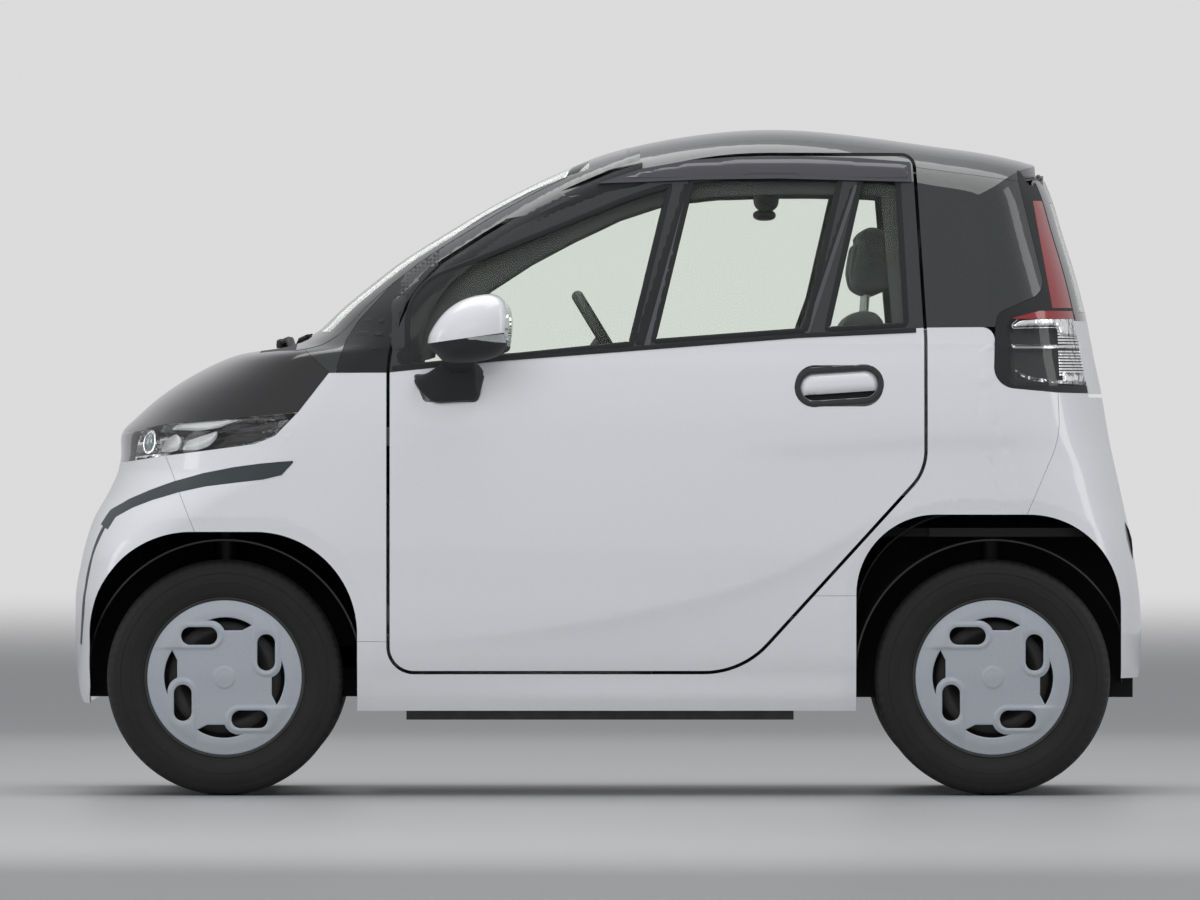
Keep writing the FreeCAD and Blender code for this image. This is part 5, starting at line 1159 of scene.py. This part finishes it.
# Half of the tyre's section, from the bead over the sidewall and shoulder to the tread's middle.
SIDEWALL = ((0.0555, 0.172), (0.0600, 0.180), (0.0640, 0.1865), (0.0668, 0.1905), (0.0672, 0.1935),
            (0.0690, 0.1950), (0.0700, 0.1990), (0.0722, 0.2050), (0.0738, 0.2110), (0.0752, 0.2175),
            (0.0753, 0.2195), (0.0763, 0.2203), (0.0763, 0.2216), (0.0757, 0.2224), (0.0757, 0.2290),
            (0.0752, 0.2370), (0.0742, 0.2410), (0.0750, 0.2418), (0.0748, 0.2432), (0.0736, 0.2440),
            (0.0722, 0.2490), (0.0703, 0.2540), (0.0705, 0.2550), (0.0680, 0.2596), (0.0655, 0.2632),
            (0.0625, 0.2661), (0.0590, 0.2684), (0.0545, 0.2702), (0.0500, 0.2714), (0.0440, 0.2723))
TREAD = ((0.0405, 0.2727), (0.0400, 0.2660), (0.0350, 0.2660), (0.0345, 0.2730), (0.0240, 0.2734),
         (0.0165, 0.2735), (0.0160, 0.2664), (0.0105, 0.2664), (0.0100, 0.2735), (0.0, 0.2735))
half_section = SIDEWALL + TREAD
other_half = tuple((-out, radius) for out, radius in reversed(half_section[:-1]))
section = half_section + other_half + ((0.0, 0.168),)


def sipes(out, radius, step):
    """Depth of the fine slots across the shoulder and the short notches in the ribs."""
    shoulder = (np.abs(out) > 0.0435) & (radius > 0.2535)
    rib = (np.abs(out) < 0.0345) & (np.abs(out) > 0.0165) & (radius > 0.27)
    return 0.0019 * (shoulder & (step % 4 == 0)) + 0.0022 * (rib & (step % 8 == 2))


def wheel_place(x, side):
    """Placement of a wheel's pieces, which are drawn for the left side and turned for the right."""
    return Matrix.Translation((x, side * WHEEL_MIDDLE, TYRE_RADIUS)) @ Matrix.Rotation(
        math.pi if side > 0 else 0.0, 4, "Z")


rubber = moulded("tyre_rubber", (0.009, 0.009, 0.0095), 0.66, scale=700.0, depth=0.0001, film=0.02)
corners, faces = lathe(section, 288, sipes)
tyre_mesh = mesh_of("tyre", corners, faces, rubber, crease=28.0)
for place, x, side in WHEELS:
    tyre = piece("tyre_" + place + "_dressed", tyre_mesh, "wheel_" + place, ("tyre_" + place,))
    tyre.matrix_world = wheel_place(x, side)

# Wheels: a dark pressed-steel rim and disc behind a silver-blue moulded cap. The cap has four
# raised arms, each round a slot, with a lens-shaped opening at each arm's end and a plain boss.
dark_metal = moulded("coated_black_steel", (0.014, 0.014, 0.015), 0.42, scale=260.0, depth=0.0002, film=0.12)
wheel_silver = paint("silver_blue_satin_paint", (0.46, 0.50, 0.55), (0.75, 0.80, 0.86), 0.35, 0.36, film=0.02,
                     Metallic=0.45)
CAP = 0.1795
CELL = 0.0026
RIM_SECTION = ((0.060, 0.1862), (0.0652, 0.1862), (0.0665, 0.1835), (0.0650, 0.1805), (0.0560, 0.1715),
               (0.0480, 0.1650), (0.0300, 0.1610), (0.0200, 0.1500), (-0.0200, 0.1500), (-0.0350, 0.1620),
               (-0.0560, 0.1690), (-0.0640, 0.1800), (-0.0660, 0.1800), (-0.0600, 0.1660), (-0.0380, 0.1580),
               (-0.0220, 0.1460), (0.0240, 0.1460), (0.0330, 0.1575), (0.0470, 0.1610), (0.0560, 0.1660))
DISC_SECTION = ((0.0040, 0.1470), (0.0100, 0.1475), (0.0160, 0.1400), (0.0280, 0.1300), (0.0330, 0.1120),
                (0.0290, 0.0980), (0.0180, 0.0880), (0.0130, 0.0760), (0.0150, 0.0640), (0.0190, 0.0560),
                (0.0190, 0.0300), (0.0340, 0.0290), (0.0350, 0.0), (0.0100, 0.0), (0.0090, 0.0640),
                (0.0070, 0.0800), (0.0130, 0.0920), (0.0240, 0.1000), (0.0270, 0.1120), (0.0230, 0.1270),
                (0.0100, 0.1360))
NUTS, NUT_CIRCLE, NUT_RADIUS = 4, 0.0435, 0.0105
NUT_SECTION = ((0.018, NUT_RADIUS), (0.031, NUT_RADIUS), (0.035, 0.6 * NUT_RADIUS))
wheel_parts = [(lathe(RIM_SECTION, 120), 0), (lathe(DISC_SECTION, 120), 0)]
for k in range(NUTS):
    angle = 2 * math.pi * (k + 0.5) / NUTS
    nut = [(NUT_CIRCLE * math.cos(angle) + radius * math.cos(math.pi * j / 3), -out,
            NUT_CIRCLE * math.sin(angle) + radius * math.sin(math.pi * j / 3))
           for out, radius in NUT_SECTION for j in range(6)]
    wheel_parts.append(((nut, wrapped(3, 6)), 0))
rim_mesh = mesh_of("wheel_rim", *joined(wheel_parts)[:2], dark_metal)


def turned_four(u, w):
    """The plane's points seen from each of the cap's four arms."""
    for _ in range(4):
        yield u, w
        u, w = -w, u


def capsule(u, w, start, stop, level, radius):
    """Signed distance to a level stadium, negative inside."""
    nearest = np.clip(u, start, stop)
    return np.hypot(u - nearest, w - level) - radius


# Slots and arms of the cap, and the ends of its lens-shaped openings, as shares of its radius.
SLOT = (-0.444, -0.205, 0.538, 0.113)
ARM = (-2.0, -0.185, 0.538, 0.185)


def cap_openings(u, w):
    """Signed distance to the cap's solid, positive in its openings and past its rim."""
    open_to = np.hypot(u, w) / CAP - 1.0
    for a, b in turned_four(u / CAP, w / CAP):
        slot = capsule(a, b, *SLOT)
        round_top = np.hypot(a - 0.01, b - 0.163) - 0.613
        lens = np.maximum(np.maximum(round_top, 0.612 - b), (0.614 - b) * 0.893 + (a - 0.228) * 0.45)
        lens = np.maximum(lens, 0.014 - capsule(a, b, *ARM))
        open_to = np.maximum(open_to, -np.minimum(slot, lens))
    return open_to * CAP


def cap_height(u, w):
    """How far the cap's face stands out from the wheel's middle plane."""
    r = np.hypot(u, w)
    height = 0.0732 - 0.0042 * (r / CAP) ** 2 - 0.0030 * swell(r - 0.150, 0.030)
    arms = np.full_like(r, 9.0)
    slots = np.full_like(r, 9.0)
    for a, b in turned_four(u / CAP, w / CAP):
        arms = np.minimum(arms, capsule(a, b, *ARM))
        slots = np.minimum(slots, capsule(a, b, *SLOT))
    rise = 0.0042 * swell(-arms * CAP, 0.0075) * (1 - 0.85 * swell(r - 0.135, 0.038))
    dip = 0.0020 * swell(0.012 - slots * CAP, 0.012)
    boss = 0.0026 * swell(0.0262 - r, 0.0030) + 0.0012 * swell(0.0215 - r, 0.0215)
    return height + rise - dip + boss


def boundary_rings(mesh):
    """Loops of boundary vertices, each in order."""
    after = {}
    for edge in mesh.edges:
        if edge.is_boundary:
            loop = edge.link_loops[0]
            after[loop.vert] = loop.link_loop_next.vert
    rings = []
    while after:
        start, here = next(iter(after.items()))
        ring = [start]
        del after[start]
        while here is not start:
            ring.append(here)
            here = after.pop(here)
        rings.append(ring)
    return rings


count = int(CAP / CELL) + 2
steps = np.arange(-count, count + 1) * CELL
grid_u, grid_w = np.meshgrid(steps, steps, indexing="ij")
LIP, SLOPE_STEP = 0.0022, 2e-4
cap_draft = bmesh.new()
cells = {}
middle_u, middle_w = grid_u[:-1, :-1] + CELL / 2, grid_w[:-1, :-1] + CELL / 2
kept = cap_openings(middle_u, middle_w) < -LIP
for i, j in zip(*np.nonzero(kept)):
    quad = []
    for a, b in ((i, j), (i + 1, j), (i + 1, j + 1), (i, j + 1)):
        if (a, b) not in cells:
            cells[(a, b)] = cap_draft.verts.new((grid_u[a, b], 0, grid_w[a, b]))
        quad.append(cells[(a, b)])
    cap_draft.faces.new(quad)
rings = boundary_rings(cap_draft)


def pull(points, offset):
    """Moves plane points onto the line that lies an offset outside the cap's solid edge."""
    points = np.array(points, float)
    for _ in range(5):
        u, w = points.T
        here = cap_openings(u, w) - offset
        slope_u = (cap_openings(u + SLOPE_STEP, w) - cap_openings(u - SLOPE_STEP, w)) / (2 * SLOPE_STEP)
        slope_w = (cap_openings(u, w + SLOPE_STEP) - cap_openings(u, w - SLOPE_STEP)) / (2 * SLOPE_STEP)
        size = np.maximum(slope_u ** 2 + slope_w ** 2, 0.2)
        points = points - np.stack([here * slope_u / size, here * slope_w / size], axis=1)
    return points


# The cap's edge turns back in steps of (outward, drop).
ROUNDING = ((0.0008, 0.0003), (0.0016, 0.0010), (0.0021, 0.0021), (0.0022, 0.0075))
for ring in rings:
    plane = pull([(vert.co.x, vert.co.z) for vert in ring], -LIP)
    for _ in range(2):
        plane = (plane + 0.5 * (np.roll(plane, 1, axis=0) + np.roll(plane, -1, axis=0))) / 2
        plane = pull(plane, -LIP)
    for vert, (u, w) in zip(ring, plane):
        vert.co.x, vert.co.z = u, w
    drop_from = cap_height(*plane.T)
    last = ring
    for outward, drop in ROUNDING:
        moved = pull(plane, outward - LIP)
        new = [cap_draft.verts.new((u, -(top - drop), w)) for (u, w), top in zip(moved, drop_from)]
        for k in range(len(ring)):
            n = (k + 1) % len(ring)
            cap_draft.faces.new((last[n], last[k], new[k], new[n]))
        last = new
inner = list(cells.values())
tops = cap_height(np.array([vert.co.x for vert in inner]), np.array([vert.co.z for vert in inner]))
for vert, top in zip(inner, tops):
    vert.co.y = -top
cap_mesh = bpy.data.meshes.new("wheel_cap")
cap_draft.to_mesh(cap_mesh)
cap_draft.free()
cap_mesh.materials.append(wheel_silver)
cap_mesh.polygons.foreach_set("use_smooth", [True] * len(cap_mesh.polygons))
for place, x, side in WHEELS:
    rim = piece("wheel_rim_" + place, rim_mesh, "wheel_" + place)
    cover = piece("wheel_cap_" + place, cap_mesh, "wheel_" + place, ("wheel_" + place,))
    rim.matrix_world = cover.matrix_world = wheel_place(x, side)

# Inner wheel arches: near-black walls that close each arch towards the car's middle, behind the carried-over
# liners. They are painted shade: a dark sheet put where the arches lie in shade.
# Near-black plastic, darker than the other plastics: real black plastic with painted shade for the arches and
# the underside.
black_and_painted_shade = moulded("black_plastic_and_painted_shade", (0.006, 0.006, 0.0065), 0.8, film=0.0)
# Each wall: middle, near and far face from the car's middle, and top.
ARCH_WALLS = ((-AXLE, 0.285, 0.300, 0.655), (AXLE, 0.395, 0.410, 0.690))
WALL_HALF, WALL_LOW, WALL_CORNER = 0.330, 0.225, 0.12
draft = bmesh.new()
for x, near, far, top in ARCH_WALLS:
    for side in (-1, 1):
        rim = [(x - WALL_HALF, WALL_LOW), (x - WALL_HALF, top - WALL_CORNER)]
        for turn in np.linspace(0, math.pi / 2, 9):
            rim.append((x - WALL_HALF + WALL_CORNER * (1 - math.cos(turn)),
                        top - WALL_CORNER * (1 - math.sin(turn))))
        rim += [(2 * x - a, b) for a, b in reversed(rim)]
        sheets = [[draft.verts.new((a, side * depth, b)) for a, b in rim] for depth in (near, far)]
        draft.faces.new(sheets[0])
        draft.faces.new(sheets[1][::-1])
        for k in range(len(rim)):
            n = (k + 1) % len(rim)
            draft.faces.new((sheets[0][k], sheets[0][n], sheets[1][n], sheets[1][k]))
bmesh.ops.recalc_face_normals(draft, faces=draft.faces)
walls = bpy.data.meshes.new("arch_walls")
draft.to_mesh(walls)
draft.free()
walls.materials.append(black_and_painted_shade)
piece("inner_arch_shade_walls", walls, "root")

# Arch linings: black moulded hoods that follow the panel's edge and turn in over each wheel. They
# are screwed to the body behind the lip.
LINING_OUT, LINING_THICK, LINING_LOW, LIP_SPACE = 0.606, 0.003, 0.262, 0.016
# Each hood: how far in it reaches, and the corner radius ahead of and behind its wheel.
HOODS = ((0.292, 0.236, 0.236), (0.400, 0.254, 0.216))
corners, faces = [], []
quarter = np.linspace(0, math.pi / 2, 15)
for (middle, half, _, top), (inner, first, second) in zip(ARCHES, HOODS):
    rim = [(middle - half, LINING_LOW)]
    rim += [(middle - half + first * (1 - math.cos(turn)), top - first * (1 - math.sin(turn)))
            for turn in quarter]
    rim += [(middle + half - second * (1 - math.cos(turn)), top - second * (1 - math.sin(turn)))
            for turn in quarter[::-1]]
    rim = np.array(rim + [(middle + half, LINING_LOW)])
    outward = rim - np.array((middle, top - 0.28))
    outward /= np.linalg.norm(outward, axis=1)[:, None]
    for side in (-1, 1):
        shift = len(corners)
        rows = [(rim + outward * grow, depth)
                for grow, depth in ((0.002, LINING_OUT), (0.004, inner), (0.004 + LINING_THICK, inner),
                                    (0.002 + LINING_THICK, LINING_OUT))]
        for line, depth in rows:
            for x, z in line:
                widest = half_at(x, z) - LIP_SPACE
                corners.append((x, side * min(depth, max(widest, inner + 0.02)), z))
        count = len(rim)
        faces += [(shift + j * count + k, shift + j * count + k + 1, shift + (j + 1) % 4 * count + k + 1,
                   shift + (j + 1) % 4 * count + k) for j in range(4) for k in range(count - 1)]
        faces += [tuple(shift + j * count for j in range(4)),
                  tuple(shift + j * count + count - 1 for j in (3, 2, 1, 0))]
# The linings take the same near-black, which is painted shade over their real black plastic.
piece("arch_linings", mesh_of("arch_linings", corners, faces, black_and_painted_shade), "root")

# Seats: foam pads in woven fabric on the carried-over frames. Each cushion, back and headrest is
# swollen by cloth simulation, and the sewn channels are pulled in afterwards along the stitch lines.
# Fine woven threads cross in the fabric, and its tone varies a little.
THREAD_DEPTH = 0.0005
seat_fabric, tree, shader = finish("woven_seat_fabric", (0.055, 0.057, 0.062), 0.88, Sheen_Weight=0.25,
                                   Sheen_Roughness=0.5)
place = add(tree, "ShaderNodeTexCoord")
warp = add(tree, "ShaderNodeTexWave", Scale=230.0, Distortion=0.6, bands_direction="X")
weft = add(tree, "ShaderNodeTexWave", Scale=230.0, Distortion=0.6, bands_direction="Z")
for threads in (warp, weft):
    tree.links.new(place.outputs["Object"], threads.inputs["Vector"])
threads = math_node(tree, "MAXIMUM", warp.outputs["Fac"], weft.outputs["Fac"])
raised(tree, shader, math_node(tree, "MULTIPLY", threads, THREAD_DEPTH))
tone = add(tree, "ShaderNodeTexNoise", Scale=60.0, Detail=3.0)
tree.links.new(place.outputs["Object"], tone.inputs["Vector"])
tree.links.new(blend_colours(tree, tone.outputs["Fac"], (0.040, 0.042, 0.046, 1), (0.075, 0.078, 0.084, 1)),
               shader.inputs["Base Color"])
PUFF, PUFF_FRAMES, CLOTH_QUALITY = 4.0, 20, 4
EDGE_ROUND, SHARP_EDGE = 0.022, math.radians(50)


def swollen(name, outline, across, cap, voxel=0.010):
    """Padded form from a side-view outline in metres: remeshed, blown up softly and capped."""
    low, high = across
    count = len(outline)
    corners = [(a, low, b) for a, b in outline] + [(a, high, b) for a, b in outline]
    faces = [tuple(range(count)), tuple(range(2 * count - 1, count - 1, -1))]
    faces += [(k, (k + 1) % count, count + (k + 1) % count, count + k) for k in range(count)]
    shape = mesh_of(name, corners, faces)
    draft = bmesh.new()
    draft.from_mesh(shape)
    bmesh.ops.bevel(draft, geom=[edge for edge in draft.edges if edge.calc_face_angle(0) > SHARP_EDGE],
                    offset=EDGE_ROUND, segments=3, affect="EDGES", profile=0.5)
    draft.to_mesh(shape)
    draft.free()
    form = bpy.data.objects.new(name, shape)
    bpy.context.scene.collection.objects.link(form)
    even = form.modifiers.new("even", "REMESH")
    even.mode = "VOXEL"
    even.voxel_size = voxel
    start = bpy.data.meshes.new_from_object(form.evaluated_get(bpy.context.evaluated_depsgraph_get()))
    form.modifiers.clear()
    form.data = start
    rest = np.array([vert.co for vert in start.vertices])
    cloth = form.modifiers.new("cloth", "CLOTH")
    cloth.settings.use_pressure = True
    cloth.settings.uniform_pressure_force = PUFF
    cloth.settings.effector_weights.gravity = 0.0
    cloth.settings.quality = CLOTH_QUALITY
    cloth.collision_settings.use_collision = False
    cloth.point_cache.frame_start, cloth.point_cache.frame_end = 1, PUFF_FRAMES
    for frame_number in range(1, PUFF_FRAMES + 1):
        bpy.context.scene.frame_set(frame_number)
    done = form.evaluated_get(bpy.context.evaluated_depsgraph_get())
    places = np.array([vert.co for vert in done.to_mesh().vertices])
    done.to_mesh_clear()
    form.modifiers.clear()
    bpy.context.scene.frame_set(1)
    move = places - rest
    size = np.linalg.norm(move, axis=1)
    rest = rest + move * np.minimum(1, cap / np.maximum(size, 1e-9))[:, None]
    start.vertices.foreach_set("co", rest.astype(np.float32).ravel())
    fine = form.modifiers.new("fine", "SUBSURF")
    fine.levels = fine.render_levels = 1
    result = bpy.data.meshes.new_from_object(form.evaluated_get(bpy.context.evaluated_depsgraph_get()))
    bpy.data.objects.remove(form)
    return result


def sewn(mesh, lines, depth=0.006, width=0.006):
    """Channels pulled in along planes, each given as (point, direction across, where it holds)."""
    points = np.array([vert.co for vert in mesh.vertices])
    normals = np.array([vert.normal for vert in mesh.vertices])
    pull = np.zeros(len(points))
    for point, across, holds in lines:
        gap = (points - point) @ np.array(across)
        pull = np.maximum(pull, np.exp(-(gap / width) ** 2) * holds(points, normals))
    points -= normals * (pull * depth)[:, None]
    mesh.vertices.foreach_set("co", points.astype(np.float32).ravel())


def upward(_, normals):
    """How much each place faces up."""
    return np.clip(normals[:, 2] * 2.5 - 0.8, 0, 1)


def forward(_, normals):
    """How much each place faces the nose."""
    return np.clip(-normals[:, 0] * 2.5 - 0.8, 0, 1)


def between(face):
    """Holds a stitch line to the middle panel, between the two long channels."""
    return lambda points, normals: face(points, normals) * (np.abs(points[:, 1] + SEAT_Y) < CHANNEL)


def piped(_, normals):
    """Holds a stitch line off the pad's own sides."""
    return np.abs(normals[:, 1]) < 0.9


SEAT_Y, SEAT_HALF, CHANNEL, PIPING = 0.270, 0.212, 0.128, 0.030
# Each pad: side-view outline, half-width, how far it may swell, voxel size, and how it is stitched.
PADS = {
    "seat_cushion": (((0.004, 0.403), (0.372, 0.403), (0.372, 0.490), (0.300, 0.484), (0.060, 0.498),
                      (0.006, 0.480)), SEAT_HALF, 0.012, 0.010),
    "seat_back": (((0.396, 0.404), (0.478, 0.404), (0.640, 1.110), (0.632, 1.132), (0.574, 1.136),
                   (0.556, 1.110), (0.470, 0.720)), SEAT_HALF, 0.012, 0.010),
    "headrest": (((0.562, 1.166), (0.655, 1.166), (0.648, 1.318), (0.585, 1.320)), 0.118, 0.010, 0.008),
}
CROSS_STITCHES = {"seat_cushion": (upward, [((x, 0, 0), (1, 0, 0)) for x in (0.075, 0.165, 0.255)]),
                  "seat_back": (forward, [((0, 0, z), (0, 0, 1)) for z in (0.60, 0.72, 0.84, 0.96, 1.05)]),
                  "headrest": (forward, [((0, 0, 1.285), (0, 0, 1))])}
for kind, (outline, half, cap, voxel) in PADS.items():
    shape = swollen(kind, outline, (-SEAT_Y - half, -SEAT_Y + half), cap, voxel)
    face, crossing = CROSS_STITCHES[kind]
    lines = [(point, across, between(face)) for point, across in crossing]
    if kind != "headrest":
        lines += [((0, -SEAT_Y + offset, 0), (0, 1, 0), face) for offset in (-CHANNEL, CHANNEL)]
    lines += [((0, -SEAT_Y + offset, 0), (0, 1, 0), piped) for offset in (PIPING - half, half - PIPING)]
    sewn(shape, lines)
    shape.materials.clear()
    shape.materials.append(seat_fabric)
    shape.polygons.foreach_set("use_smooth", [True] * len(shape.polygons))
    for side, shift in (("left", 0.0), ("right", 2 * SEAT_Y)):
        mesh = shape.copy()
        for vert in mesh.vertices:
            vert.co.y += shift
        pad = piece(kind + "_" + side, mesh, "root")
        if kind == "seat_cushion":
            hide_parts("seat_cushions")
        else:
            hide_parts("seat_backs")

# Headrest posts: two plain steel bars stand in the frame of each back and carry its headrest.
bare_steel = moulded("bare_steel", (0.42, 0.42, 0.43), 0.34, scale=320.0, depth=0.0001, film=0.3,
                     Metallic=1.0)
posts = [(tube([(0.596, y, 1.10), (0.600, y, 1.13), (0.605, y, 1.19)], 0.0065, 12), 0)
         for y in (-SEAT_Y - 0.055, -SEAT_Y + 0.055)]
both_sides("headrest_posts", posts, (bare_steel,), ("root",))

# Steering wheel: a padded rim and three spokes round a moulded hub cover, all in grained soft
# plastic over a steel core, pushed onto the column's splines.
GRIP, GRIP_RADIUS = np.array((0.015, 0.270, 1.015)), 0.170
GRIP_AXIS = np.array((0.857, 0, 0.515))
GRIP_AXIS = GRIP_AXIS / np.linalg.norm(GRIP_AXIS)
side_way = np.array((0, 1.0, 0))
up_way = np.cross(side_way, GRIP_AXIS)
up_way = up_way if up_way[2] > 0 else -up_way


def on_wheel(turn, radius, out=0.0):
    """Place on the steering wheel at an angle from straight up, and a distance along its column."""
    return GRIP + radius * (math.cos(turn) * up_way + math.sin(turn) * side_way) + GRIP_AXIS * out


rim = np.array([on_wheel(2 * math.pi * k / 72, GRIP_RADIUS) for k in range(72)])
wheel_shapes = [(seal_ring(rim, 0.0145, spacing=0.011, sides=14, out=GRIP_AXIS), 0)]
SPOKE_LINE = ((0.030, -0.018), (0.070, -0.014), (0.120, -0.006), (0.165, 0.0))
for turn in (math.pi / 2, -math.pi / 2, math.pi):
    spoke = [on_wheel(turn, radius, out) for radius, out in SPOKE_LINE]
    wheel_shapes.append((tube(spoke, (0.022, 0.018, 0.013, 0.010), 12), 0))
hub = [GRIP + GRIP_AXIS * out for out in (-0.040, -0.034, -0.012, 0.006, 0.014, 0.016)]
wheel_shapes.append((tube(hub, (0.050, 0.058, 0.066, 0.062, 0.045, 0.010), 40), 0))
mesh = mesh_of("steering_wheel_dressed", *joined(wheel_shapes)[:2], dark_plastic)
piece("steering_wheel_dressed", mesh, cad["steering_wheel"]["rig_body"], ("steering_wheel",))

# Wipers: two coated steel arms that hug the screen from their spindles in the cowl, each with a
# slim rubber blade.
screen = BVHTree.FromPolygons([vert.co for vert in cad["windscreen"].data.vertices],
                              [face.vertices for face in cad["windscreen"].data.polygons])
COWL_TOP = 1.035


def over_screen(x, y, lift):
    """Place above the screen, or above the cowl ahead of it."""
    hit = screen.ray_cast(Vector((x, y, 2.0)), Vector((0, 0, -1)))[0]
    return np.array((x, y, (hit.z if hit else COWL_TOP) + lift))


wiper_low, wiper_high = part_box("wipers")
wiper_shapes = []
for start, stop in (((-0.766, 0.40), (-0.705, -0.02)), ((-0.766, -0.03), (-0.705, -0.262))):
    spindle, tip = np.array(start), np.array(stop)
    places = [spindle + (tip - spindle) * part for part in np.linspace(0, 1, 9)]
    arm = [over_screen(x, y, 0.006) if k > 2 else np.array((x, y, 1.050 + 0.004 * k))
           for k, (x, y) in enumerate(places)]
    wiper_shapes.append((tube(arm, np.linspace(0.009, 0.0045, 9), 8), 0))
    wiper_shapes.append((tube([(*start, z) for z in (1.038, 1.046, 1.056, 1.060)],
                              (0.013, 0.014, 0.013, 0.006), 20), 0))
    blade = [tip + (spindle - tip) * part + (0.006, 0) for part in np.linspace(-0.03, 0.86, 14)]
    wiper_shapes.append((tube([over_screen(x, y, 0.003) for x, y in blade], 0.0042, 6), 0))
corners, faces, _ = joined(wiper_shapes)
corners = np.clip(corners, np.array(wiper_low) - 0.004, np.array(wiper_high) + 0.004)
piece("wiper_arms_and_blades", mesh_of("wiper_arms_and_blades", corners, faces, dark_metal), "root",
      ("wipers",))

# Inside mirror: a moulded oval housing on a stem from the roof, with a small lower housing under
# the glass. Both are the cabin's soft grained plastic.
def oval_form(centre, radii, power=2.4, around=28, rows=14):
    """Closed rounded form with three radii, squarer for a higher power."""
    corners = []
    for a in np.linspace(0.02, math.pi - 0.02, rows):
        for b in np.linspace(0, 2 * math.pi, around, endpoint=False):
            out, up = bent(math.sin(a), 2 / power), bent(math.cos(a), 2 / power)
            corners.append((centre[0] + radii[0] * out * bent(math.cos(b), 2 / power),
                            centre[1] + radii[1] * out * bent(math.sin(b), 2 / power),
                            centre[2] + radii[2] * up))
    return corners, wrapped(rows, around)


shapes = [(oval_form((0.370, 0, 1.388), (0.030, 0.108, 0.030)), 0),
          (oval_form((0.366, 0, 1.350), (0.027, 0.045, 0.013)), 0),
          (tube([(0.380, 0, 1.400), (0.384, 0, 1.440), (0.378, 0, 1.492)], 0.008, 12), 0)]
piece("inner_mirror_dressed", mesh_of("inner_mirror_dressed", *joined(shapes)[:2], cabin_plastic), "root",
      ("inner_mirror",))

# Carried-over parts keep their own shape and take the finish that belongs to their slot: glazing,
# painted trim, moulded plastics, coated steel and castings. The floor takes the arches' near-black as painted
# shade.
accent_grey = moulded("satin_accent_plastic", (0.045, 0.055, 0.060), 0.42, scale=1400.0, depth=0.0002)
battery_coat = moulded("battery_case_coating", (0.05, 0.05, 0.052), 0.5, scale=400.0, depth=0.0003, film=0.5)
cast_alloy = moulded("cast_alloy", (0.46, 0.46, 0.47), 0.48, scale=480.0, depth=0.0005, film=0.4,
                     Metallic=0.9)
window_tint = clear_part("green_tinted_glass", (0.93, 0.975, 0.925), IOR=1.16)
FINISHES = {"white_panel": white_paint, "dark_panel": dark_paint, "black_gloss": gloss_black,
            "dark_plastic": dark_plastic, "accent_grey": accent_grey, "clear_lamp": lens_clear,
            "window_glass": window_tint, "wheel_paint": wheel_silver, "tyre_rubber": rubber,
            "dark_metal": dark_metal, "steel_parts": bare_steel, "battery_case": battery_coat,
            "motor_case": cast_alloy, "cabin_plastic": cabin_plastic, "seat_fabric": seat_fabric}
for name, part in cad.items():
    for holder in part.material_slots:
        slot = holder.material.name.split(".")[0] if holder.material else ""
        if slot in FINISHES:
            holder.material = black_and_painted_shade if name == "floor_platform" else FINISHES[slot]
